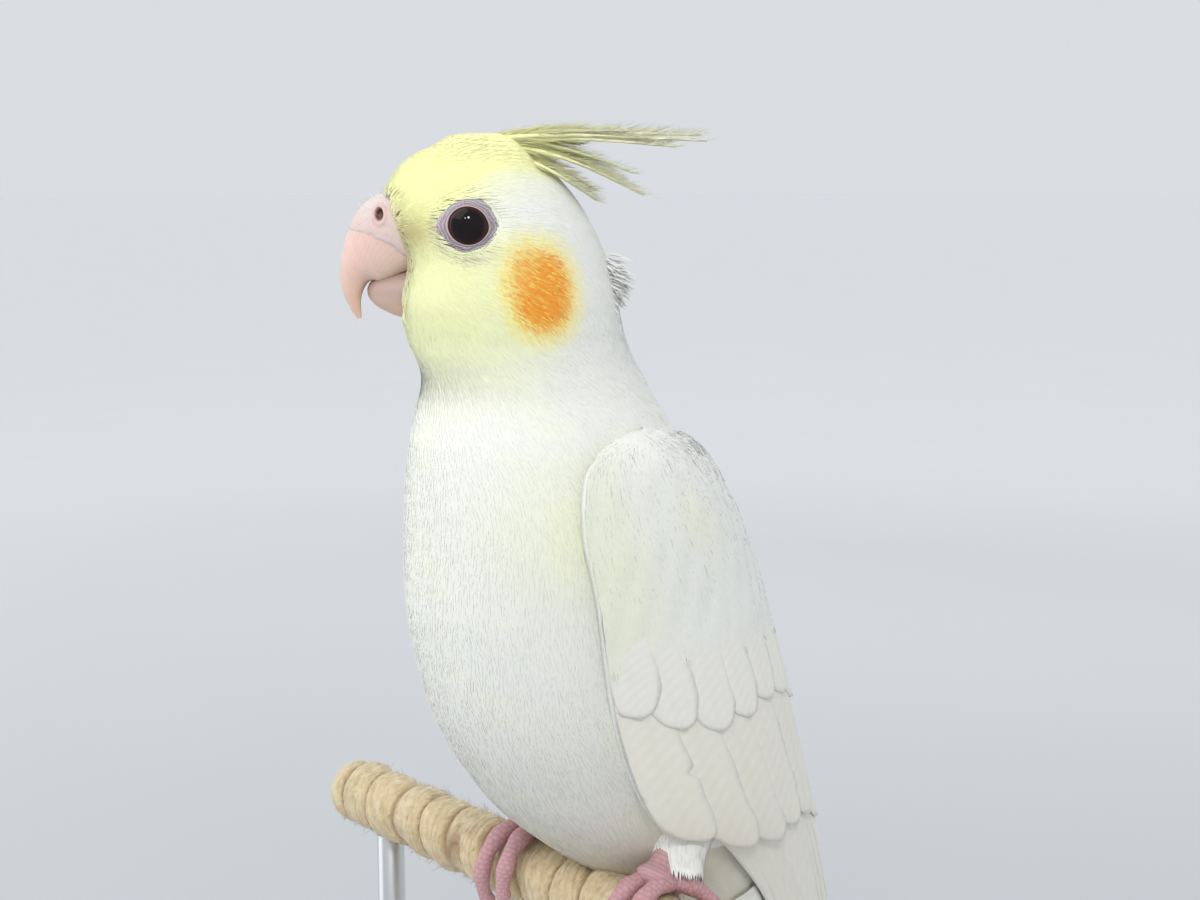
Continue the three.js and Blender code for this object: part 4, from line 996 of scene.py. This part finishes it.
def build_bill():
    places, t, angle = bill_rings(UPPER_BILL, 150, 128, 0.12)
    normal = grid_normals(places)
    keel = np.exp(-((np.minimum(angle, 2 * math.pi - angle)) / 0.3) ** 2)
    f, l, u = np.moveaxis(places, -1, 0)
    grown = np.sin(60 * t + 3 * np.cos(angle)) * np.exp(-((t - 0.45) / 0.2) ** 2)
    flakes = ripple(places * np.array([1, 1, 0.45]), 1.1, 31)
    sink, _, _ = nostril_dent(places, 0.0)
    places = places + normal * (0.05 * grown + 0.035 * flakes + 0.1 * keel)[..., None]
    places[..., 1] -= np.sign(l) * sink * 1.25
    colour = plain((0.76, 0.53, 0.455), places)
    colour = blend(colour, (0.86, 0.72, 0.61), 0.8 * keel)
    colour = blend(colour, (0.80, 0.54, 0.38), 0.75 * ramp(t, 0.5, 0.9))
    rear = ramp(-np.cos(angle), -0.1, 0.9) * (1 - ramp(t, 0.45, 0.7))
    colour = blend(colour, (0.78, 0.62, 0.54), 0.6 * rear)
    colour = blend(colour, (0.70, 0.46, 0.42), 0.25 * ramp(flakes, 0, 1))
    colour = blend(colour, (0.34, 0.17, 0.15), 0.85 * ramp(-np.cos(angle), 0.94, 0.995))
    streak = 0.025 * np.sin(37 * angle + 5 * np.sin(9 * t))
    colour = np.clip(colour * (1 + streak[..., None]), 0, 1)
    ride(tube_mesh("upper_bill_horn", in_head(places), colour), HORN, "bill", "upper_bill")
    places, t, angle = bill_rings(LOWER_BILL, 70, 64)
    places = places + grid_normals(places) * (0.04 * ripple(places, 1.2, 8))[..., None]
    colour = plain((0.52, 0.37, 0.32), places)
    colour = blend(colour, (0.72, 0.50, 0.38), 0.75 * ramp(-np.cos(angle), -0.1, 0.9))
    ride(tube_mesh("lower_bill_horn", in_head(places), colour), HORN, "bill", "lower_bill")


def build_cere():
    """Bare skin over the bill's root. It thins out to nothing where the horn begins."""
    places, t, angle = bill_rings(UPPER_BILL, 150, 200, 0.12, 5.4)
    f, l, u = np.moveaxis(places, -1, 0)
    wander = ripple(places, 2.2, 15)
    above = u - np.interp(f, *CERE_EDGE) + 0.35 * wander
    bumps = ripple(places, 0.5, 12) + 0.6 * ripple(places, 0.25, 13)
    sink, hole, rim = nostril_dent(places, 0.2)
    high = mix(-0.3, 0.2, ramp(above, -0.7, 0.5)) + 0.035 * bumps * ramp(above, -0.2, 0.6)
    places = places + grid_normals(places) * high[..., None]
    places[..., 1] -= np.sign(l) * sink
    colour = plain((0.68, 0.54, 0.50), places)
    colour = blend(colour, (0.74, 0.64, 0.60), 0.8 * ramp(u, 0, 4.2))
    colour = blend(colour, (0.62, 0.47, 0.47), 0.55 * ramp(-above, -1.6, -0.2) * ramp(-f, -17, -13))
    colour = blend(colour, (0.66, 0.43, 0.40), 0.55 * rim)
    # Painted shade: the nostril hole is painted near black.
    colour = blend(colour, (0.30, 0.14, 0.12), hole)
    colour = np.clip(colour * (1 + 0.05 * bumps[..., None]), 0, 1)
    ride(tube_mesh("cere_skin", in_head(places), colour), BARE, "bill", "cere")
    # Short white bristles on top of the cere and round its front.
    count = 260
    i, k = rng.integers(4, 88, count), rng.integers(0, 200, count)
    spots, lie = places[i, k], grid_normals(places)[i, k]
    keep = (above[i, k] > 0.6) & (spots[:, 2] > 2.2)
    spots, lie = spots[keep], lie[keep]
    ahead = unit(np.array([0.35, 0, 0.5]) + rng.normal(0, 0.35, spots.shape) + 0.5 * lie)
    count = len(spots)
    uv = np.stack([np.full(count, 0.02), np.full(count, 0.8)], -1)
    bristles = barb_field(
        "cere_bristles", in_head(spots), ahead @ HEAD_AXES, lie @ HEAD_AXES, rng.uniform(0.7, 1.6, count),
        np.full(count, 0.07), np.broadcast_to(WHITE, (count, 3)), uv, np.zeros(count), 0.05, 0.1)
    ride(bristles, COAT, "face_plumage")


# The eyes and their rings of bare skin.


def build_eye(hand):
    rows, columns = 28, 48
    polar = np.linspace(0.02, 2.2, rows)[:, None]
    turn = circle(columns)
    ball = np.stack([np.sin(polar) * np.cos(turn), np.cos(polar) + 0 * turn,
        np.sin(polar) * np.sin(turn)], -1)
    places = ball * EYE_RADIUS * np.array([1, hand, 1]) + np.array([EYE_AT[0], hand * EYE_SIDE,
        EYE_AT[1]])
    edge = ramp(np.sin(polar) + 0 * turn, 0.56, 0.72)
    colour = blend(plain((0.004, 0.002, 0.0025), places), np.array([0.085, 0.022, 0.018]), 0.8 * edge)
    ring = in_head(places)
    piece = tube_mesh("eye_ball_" + SIDES[hand], ring if hand > 0 else ring[:, ::-1], colour)
    ride(piece, EYE, "eye", "eye_" + SIDES[hand])


def build_lid(hand):
    """Bare skin round the eye: a thin lid margin, then fine wrinkles out to the feathers."""
    rows, columns = 60, 180
    k = np.linspace(0, 1, rows)[:, None]
    turn = circle(columns)
    corner = 1.1 * np.exp(-((np.angle(np.exp(1j * (turn - math.pi - 0.15)))) / 0.34) ** 2)
    front = 1.3 * np.exp(-((np.angle(np.exp(1j * turn))) / 0.5) ** 2)
    outer = 4.7 + corner + front
    inner = EYE_SEEN + 0.12 * corner + 0.05 * np.sin(2 * turn + 0.6)
    radius = mix(inner, outer, k)
    f, u = EYE_AT[0] + radius * np.cos(turn), EYE_AT[1] + radius * np.sin(turn) * 0.97
    ball = EYE_SIDE + np.sqrt(np.maximum(EYE_RADIUS ** 2 - inner ** 2, 0.5))
    outside = head_side(f, u, -1.0)
    ridges = np.sin(27 * k + 2.2 * np.sin(3 * turn + 4 * k) + 1.4 * np.sin(8 * turn - 5 * k)) * ramp(k,
        0.12, 0.25)
    cross = np.sin(46 * turn + 5 * np.sin(9 * k) + 2.0 * np.sin(3 * turn)) * ramp(k, 0.1, 0.3)
    margin = np.exp(-((k - 0.06) / 0.05) ** 2)
    level = mix(ball + 0.05, outside, ramp(k, 0.08, 0.95)) + 0.18 * margin + 0.1 * ridges + 0.08 * cross
    under = level - 0.8
    top, low = np.stack([f, hand * level, u], -1), np.stack([f, hand * under, u], -1)
    colour = plain((0.40, 0.345, 0.38), top)
    # Painted highlight and shade: the wrinkle tops are painted lighter and the grooves between them darker.
    colour = blend(colour, (0.58, 0.52, 0.54), 0.6 * ramp(ridges + 0.5 * cross, 0.0, 1.2))
    colour = blend(colour, (0.27, 0.21, 0.24), 0.6 * ramp(-ridges - 0.5 * cross, 0.2, 1.4))
    colour = blend(colour, (0.30, 0.20, 0.21), 0.8 * np.exp(-((k - 0.16) / 0.045) ** 2) + 0 * turn)
    colour = blend(colour, (0.62, 0.49, 0.49), 0.8 * margin + 0 * turn)
    colour = blend(colour, (0.12, 0.05, 0.05), 0.9 * (1 - ramp(k, 0.0, 0.035)) + 0 * turn)
    ring = in_head(np.concatenate([top, low[::-1]]))
    colour = np.concatenate([colour, colour[::-1]])
    piece = tube_mesh("eye_ring_" + SIDES[hand], ring if hand > 0 else ring[:, ::-1], colour, caps=False)
    ride(piece, BARE, "face_plumage")


# Legs and feet.
TOE_RADIUS = 1.75
TOE_PATH = PERCH_RADIUS + GAP + TOE_RADIUS * 0.92
TOES = (
    ("front_outer", 1, 128, 1.4, 1.7), ("front_inner", 1, 106, -1.2, -1.7),
    ("back_outer", -1, 104, 4.2, 1.2), ("back_inner", -1, 74, -3.4, -1.2),
)
PINK = np.array([0.47, 0.24, 0.26])
PALE_PINK = np.array([0.68, 0.46, 0.47])


def toe_path(toe, hand, degrees, radius):
    _, ahead, reach, splay, start = toe
    share = degrees / reach
    x = STANCE_X + hand * (FOOT_X + start + splay * np.minimum(share * 1.6, 1))
    turn = np.radians(degrees) * ahead
    return np.stack([x, -radius * np.sin(turn), radius * np.cos(turn)], -1)


def tube_rings(path, radii, sides, wide=1.0, ripple_by=None):
    """Rings round a path. The first side direction is kept near X."""
    way = unit(np.gradient(path, axis=0))
    out = unit(np.cross(np.array([1.0, 0, 0]), way))
    across = unit(np.cross(way, out))
    angle = circle(sides)[..., None]
    radius = np.asarray(radii).reshape(-1, 1, 1) * np.ones_like(angle)
    if ripple_by is not None:
        radius = radius * ripple_by[..., None]
    return path[:, None] + across[:, None] * radius * np.cos(angle) + out[:,
        None] * radius * wide * np.sin(angle)


def scaled_tube(name, path, radii, sides=30, scales=12.0, slot="foot_skin", nodes=()):
    rows = len(path)
    t = np.linspace(0, 1, rows)[:, None]
    angle = circle(sides)
    bands = t * scales + 0.35 * np.sin(7 * t) + 0.12 * np.cos(2 * angle)
    shift = np.floor(bands) % 2 * 0.5 * math.pi
    cells = np.abs(np.sin(3.5 * angle + shift)) ** 0.35
    plates = np.abs(np.sin(math.pi * bands)) ** 0.35 * mix(cells, 1.0, ramp(np.sin(angle), 0.3, 0.8))
    grain = ripple(np.stack([t * 40 + 0 * angle, np.cos(angle) * 6 + 0 * t, np.sin(angle) * 6 + 0 * t],
        -1), 1.6, 5)
    rings = tube_rings(path, radii, sides, 0.92, 0.985 + 0.015 * plates + 0.03 * grain)
    colour = blend(plain(PINK, rings), PALE_PINK, 0.4 * ramp(plates, 0.35, 1) + 0.2 * grain)
    return ride(tube_mesh(name, rings, colour), TOE, slot, *nodes)


def build_foot(hand):
    side = SIDES[hand]
    for number, toe in enumerate(TOES):
        degrees = np.linspace(-6, toe[2], 150)
        path = toe_path(toe, hand, degrees, TOE_PATH)
        share = np.linspace(0, 1, 150)
        knuckle = 1 + 0.10 * np.cos(share * 3 * 2 * math.pi)
        radii = TOE_RADIUS * knuckle * mix(1.0, 0.74, share)
        radii = radii * np.where(share > 0.96, np.sqrt(np.clip(1 - ((share - 0.96) / 0.05) ** 2, 0.1, 1)),
            1)
        nodes = ("foot_" + side,) if number == 0 else ()
        scaled_tube("toe_%s_%s" % (side, toe[0]), path, radii, scales=26.0, nodes=nodes)
        steps = np.linspace(0, 1, 24)
        turn = math.degrees(5.2 / (TOE_PATH + 0.6))
        path = toe_path(toe, hand, toe[2] - 1.0 + (turn + 3.2) * steps,
            TOE_PATH + 0.6 * np.sin(math.pi * steps) - 0.3 * steps)
        rings = tube_rings(path, 1.05 * (1 - 0.88 * steps ** 1.2), 18)
        colour = blend(plain((0.66, 0.50, 0.44), rings), np.array([0.42, 0.33, 0.30]),
            ramp(steps, 0.3, 1)[:, None] + 0 * rings[..., 0])
        ride(tube_mesh("claw_horn_%s_%s" % (side, toe[0]), rings, colour), HORN, "claw",
            "claw_%s_%s" % (side, toe[0]))
    ball = np.array([STANCE_X + hand * FOOT_X, 0, TOE_PATH + 0.4])
    ankle = np.array([STANCE_X + hand * (FOOT_X - 0.8), 5.2, TOE_PATH + 7.0])
    share = np.linspace(-0.25, 1, 80)[:, None]
    swell = 2.2 + 1.4 * np.exp(-((share[:, 0] - 0.0) / 0.16) ** 2)
    swell = swell * np.sqrt(np.clip((share[:, 0] + 0.26) / 0.12, 0.05, 1))
    scaled_tube("shank_" + side, ball + (ankle - ball) * share, swell, 40, 16.0)


def build_thigh(hand):
    """The feathered lower thigh above each foot, with its own small coat."""
    side = SIDES[hand]
    spine = np.array([[15.1, 10, 21], [15.7, 8, 17], [16.3, 6, 13.4], [16.5, 4.8, 10.6]],
        float) * np.array([hand, 1, 1])
    spine[:, 0] += STANCE_X * np.arange(4) / 3
    t = np.linspace(0, 3, 36)
    path = smooth(spine, t)
    radii = smooth(np.array([5.2, 6.4, 6.0, 4.6]), t) - 0.7
    rings = tube_rings(path, radii, 40)
    warm = np.clip(WHITE * 0.97, 0, 1)
    ride(tube_mesh("thigh_" + side + "_skin", rings, np.broadcast_to(warm, rings.shape)), SKIN, "plumage",
        "thigh_" + side)
    count = 1700
    i, k = (2 + 33 * rng.random(count) ** 0.6).astype(int), rng.integers(0, 40, count)
    roots = rings[i, k]
    normal = unit(roots - path[i])
    way = unit(np.gradient(path, axis=0))[i]
    along = unit(way + normal * 0.06 + rng.normal(0, 0.04, (count, 3)))
    length = rng.uniform(2.6, 4.6, count)
    pitch = np.linalg.norm(path[-1] - path[-2])
    shift = unit(np.cross(way, normal)) * rng.uniform(-0.5, 0.5, (count, 1))
    roots = roots + shift

    def reached(part):
        """Where a feather has got to along the thigh, past whose end it hangs on."""
        at = i + part * length / pitch
        low = np.minimum(at.astype(int), 34)
        share = np.minimum(at - low, 1)[:, None]
        return mix(rings[low, k], rings[low + 1, k],
            share) + shift * (1 - 0.5 * part) + way * (np.maximum(at - 35, 0) * pitch)[:, None]

    tint = blend(np.array([0.9, 0.9, 0.84]) * (1 + rng.normal(0, 0.01, (count, 1))), BEIGE,
        0.3 * ramp(-roots[:, 2], -16, -9))
    uv = np.stack([k / 40.0, 0.2 + 0.1 * i / 36.0], -1)
    piece = barb_field("thigh_" + side + "_coat", roots, along, normal, length, np.full(count, 0.5),
        np.clip(tint, 0, 1), uv, 0, 0.04, 0.12, path=[reached(0.5), reached(1.0)])
    ride(piece, COAT, "plumage")


# The perch: wound soft cord, whose turns vary in width and fatness.
def build_perch():
    rows, columns = 760, 96
    x = np.linspace(-PERCH_LENGTH / 2, PERCH_LENGTH / 2, rows)[:, None]
    turn = circle(columns)
    wobble = 0.16 * np.sin(0.31 * x) + 0.10 * np.sin(0.77 * x + 1)
    phase = x / CORD_TURN + turn / (2 * math.pi) + wobble + 0.05 * np.sin(2 * turn + 0.4 * x)
    ridge = np.abs(np.cos(math.pi * phase))
    strand = np.sin(2 * math.pi * (5.0 * phase + 0.5 * np.sin(turn + 0.3 * x)))
    fibre = (
        np.sin(64 * phase + 2.5 * np.sin(3 * turn + x)) * 0.5
        + np.sin(151 * phase + 3 * np.sin(5 * turn)) * 0.35)
    fat = 1 - 0.02 * (1 + np.sin(x * 0.61)) - 0.012 * (1 + np.sin(1.7 * x))
    soft = ripple(np.stack([x + 0 * turn, 6 * np.cos(turn) + 0 * x, 6 * np.sin(turn) + 0 * x], -1), 2.4,
        9)
    radius = PERCH_RADIUS * (0.80 + 0.20 * ridge ** 0.5) * fat
    radius = radius + (0.09 * fibre + 0.10 * strand) * ramp(ridge, 0.05, 0.4) + 0.14 * soft - 0.16
    rings = np.stack([x + 0 * turn, radius * np.sin(turn), radius * np.cos(turn)], -1)
    colour = plain((0.56, 0.42, 0.23), rings)
    colour = blend(colour, (0.72, 0.60, 0.38), 0.55 + 0.3 * soft + 0.22 * fibre + 0.15 * strand)
    # Painted shade: the grooves between the turns of the cord are painted darker.
    colour = blend(colour, (0.34, 0.21, 0.10), 0.85 * (1 - ramp(ridge, 0.0, 0.4)))
    ride(tube_mesh("perch_cord", rings, np.clip(colour, 0, 1)), CORD, "cord", "perch_wrap")
    # Loose fibres that stand off the cord.
    count = 9000
    i, k = rng.integers(4, rows - 4, count), rng.integers(0, columns, count)
    roots = rings[i, k]
    normal = unit(roots * np.array([0, 1, 1]))
    round_it = np.cross(np.array([1.0, 0, 0]), normal)
    along = unit(round_it * rng.choice([-1, 1], (count, 1)) + rng.normal(0, 0.35,
        (count, 3)) + normal * 0.15)
    length = rng.uniform(1.0, 3.2, count)
    uv = np.stack([k / columns, i / rows], -1)
    fuzz = barb_field("perch_fibres", roots, along, normal, length, np.full(count, 0.09),
        colour[i, k] * 1.06, uv, length ** 2 / 26, 0.12, 0.05)
    ride(fuzz, CORD, "cord")


# Steel rods, the core and the painted base.
def brushed_steel():
    material, tree, shader = node_material("brushed_steel", 0.34, Metallic=1.0)
    noise = add_noise(tree, 400, stretch=(1, 1, 0.05))
    tree.links.new(mixed_colour(tree, (0.52, 0.53, 0.54, 1), (0.68, 0.69, 0.70, 1), noise),
        shader.inputs["Base Color"])
    tree.links.new(add_range(tree, noise, 0.26, 0.42), shader.inputs["Roughness"])
    return material


def painted_wood():
    material, tree, shader = node_material("painted_wood", 0.5)
    noise = add_noise(tree, 60, stretch=(0.12, 1, 1))
    tree.links.new(mixed_colour(tree, (0.74, 0.73, 0.70, 1), (0.80, 0.79, 0.765, 1), noise),
        shader.inputs["Base Color"])
    tree.links.new(add_range(tree, noise, 0.42, 0.58), shader.inputs["Roughness"])
    add_bump(tree, shader, noise, 0.12, 0.0003)
    return material


def round_bar(name, start, end, radius, chamfer, material, slot, node):
    start, end = np.asarray(start, float), np.asarray(end, float)
    way = unit(end - start)
    across = unit(np.cross(way, [0.0, 1.0, 0.2]))
    other = np.cross(way, across)
    length = np.linalg.norm(end - start)
    stations = [(0, radius - chamfer), (chamfer, radius), (length - chamfer, radius),
        (length, radius - chamfer)]
    angle = np.linspace(0, 2 * math.pi, 48, endpoint=False)[:, None]
    rings = np.stack([start + way * d + r * (across * np.cos(angle) + other * np.sin(angle)) for d,
        r in stations])
    piece = tube_mesh(name, rings)
    for face in piece.data.polygons:
        face.use_smooth = abs(face.normal.dot(Vector(way))) < 0.5
    return ride(piece, material, slot, node)


def build_stand():
    steel, wood = brushed_steel(), painted_wood()
    reach = PERCH_LENGTH / 2 + 3
    round_bar("perch_core_bar", (-reach, 0, 0), (reach, 0, 0), CORE_RADIUS, 0.5, steel, "rod_steel",
        "perch_core")
    for hand in (1, -1):
        foot = np.array([hand * ROD_X, 0, BASE_THICK + 0.1 - PERCH_HEIGHT])
        top = np.array([hand * ROD_X, 0, -PERCH_RADIUS + 0.8])
        round_bar("stand_rod_bar_" + SIDES[hand], foot, top, ROD_RADIUS, 0.3, steel, "rod_steel",
            "stand_rod_" + SIDES[hand])
    corner, sides = 16.0, 20
    outline = []
    for cx, cy, start in ((1, 1, 0), (-1, 1, 90), (-1, -1, 180), (1, -1, 270)):
        for step in range(sides + 1):
            angle = math.radians(start + 90 * step / sides)
            outline.append((cx, cy, math.cos(angle), math.sin(angle)))
    outline = np.array(outline)

    def ring(inset, height):
        x = outline[:, 0] * (BASE_LENGTH / 2 - corner) + outline[:, 2] * (corner - inset)
        y = outline[:, 1] * (BASE_DEPTH / 2 - corner) + outline[:, 3] * (corner - inset)
        return np.stack([x, y - PERCH_Y, np.full(len(x), height - PERCH_HEIGHT)], -1)

    soft = 1.2
    levels = [(soft, 0.0), (0.0, soft), (0.0, BASE_THICK - soft)]
    levels += [(soft * (1 - math.cos(a)), BASE_THICK - soft * (1 - math.sin(a))) for a in np.linspace(0.2,
        math.pi / 2, 6)]
    levels.append((soft + 4.0, BASE_THICK))
    ride(tube_mesh("stand_base_board", np.stack([ring(a, h) for a, h in levels])), wood, "base_wood",
        "stand_base")


# Camera, floor and lights.
CAMERA_AT = np.array([224.82, -184.22, 119.35])
CAMERA_TURN, CAMERA_DROP, FOCAL_PX = math.radians(50), math.radians(8.5), 1800.0
PHOTO_WIDTH = 1200


def build_camera():
    right = Vector((math.cos(CAMERA_TURN), math.sin(CAMERA_TURN), 0))
    ahead = Vector((-math.sin(CAMERA_TURN) * math.cos(CAMERA_DROP),
        math.cos(CAMERA_TURN) * math.cos(CAMERA_DROP), -math.sin(CAMERA_DROP)))
    up = right.cross(ahead)
    data = bpy.data.cameras.new("camera")
    data.sensor_width = 36.0
    data.lens = FOCAL_PX / PHOTO_WIDTH * data.sensor_width
    data.clip_start = 0.01
    camera = bpy.data.objects.new("camera", data)
    turn = Matrix((right, up, -ahead)).transposed().to_4x4()
    camera.matrix_world = Matrix.Translation(Vector(metres(CAMERA_AT))) @ turn
    bpy.context.scene.collection.objects.link(camera)
    bpy.context.scene.camera = camera


def area_light(name, place, target, size, power, colour=(1, 1, 1)):
    data = bpy.data.lights.new(name, "AREA")
    data.size = size
    data.energy = power
    data.color = colour
    light = bpy.data.objects.new(name, data)
    light.location = place
    light.rotation_euler = (Vector(target) - Vector(place)).to_track_quat("-Z", "Y").to_euler()
    bpy.context.scene.collection.objects.link(light)


def build_surroundings():
    material, tree, shader = node_material("studio_floor", 0.8)
    place = tree.nodes.new("ShaderNodeTexCoord")
    far = tree.nodes.new("ShaderNodeVectorMath")
    far.operation = "LENGTH"
    tree.links.new(place.outputs["Object"], far.inputs[0])
    # Painted light: the floor is painted darker near the bird and paler further off, so that the far floor
    # matches the world's light at the horizon.
    painted_light_by_distance = tree.nodes.new("ShaderNodeMapRange")
    painted_light_by_distance.interpolation_type = "SMOOTHSTEP"
    painted_light_by_distance.inputs["From Min"].default_value = 0.1
    painted_light_by_distance.inputs["From Max"].default_value = 1.7
    tree.links.new(far.outputs["Value"], painted_light_by_distance.inputs["Value"])
    shade = mixed_colour(tree, (0.54, 0.56, 0.57, 1), (0.99, 0.99, 0.99, 1), painted_light_by_distance.outputs["Result"])
    cloud = add_range(tree, add_noise(tree, 8), 0.985, 1.015)
    tree.links.new(mixed_colour(tree, shade, cloud, 1.0, "MULTIPLY"), shader.inputs["Base Color"])
    bpy.ops.mesh.primitive_plane_add(size=60, location=(0, 0, 0))
    floor = bpy.context.object
    floor.name = "studio_floor"
    floor.data.materials.append(material)
    world = bpy.data.worlds.new("studio")
    bpy.context.scene.world = world
    world.use_nodes = True
    world.node_tree.nodes["Background"].inputs["Color"].default_value = (0.92, 0.95, 1.0, 1)
    world.node_tree.nodes["Background"].inputs["Strength"].default_value = 0.76
    middle = (0, -0.03, 0.22)
    area_light("key", (-0.08, -0.50, 0.86), middle, 0.7, 2.0, (1.0, 0.985, 0.96))
    area_light("fill", (-0.75, -0.70, 0.45), middle, 0.8, 2.0, (0.97, 0.985, 1.0))
    area_light("rim", (-0.45, 0.65, 0.65), middle, 0.7, 0.9, (0.97, 0.98, 1.0))
    area_light("catch", (0.40, -0.34, 0.63), middle, 0.07, 0.9)
    area_light("catch_small", (0.31, -0.45, 0.60), middle, 0.035, 0.22)


bpy.context.scene.view_settings.view_transform = "Standard"
build_camera()
build_surroundings()
build_skin()
for name, first, last, spacing in COAT_PARTS:
    coat_part(name, first, last, spacing)
for hand in (1, -1):
    ride(build_wing_core(hand), SKIN, "plumage")
    ride(build_wing(hand), FEATHER, "plumage", "wing_" + SIDES[hand])
    wing_cover("wing_down", hand, 126, 0.05, 3.75, 0.52, 0.0, 3.6, 0.46, 0.0, 0.09, stand=0.015, sunk=0.1)
ride(build_tail(), FEATHER, "plumage", "tail")
ride(build_tail_coverts(), FEATHER, "plumage")
build_crest()
build_tufts()
build_bill()
build_cere()
for hand in (1, -1):
    build_eye(hand)
    build_lid(hand)
    build_foot(hand)
    build_thigh(hand)
build_perch()
build_stand()
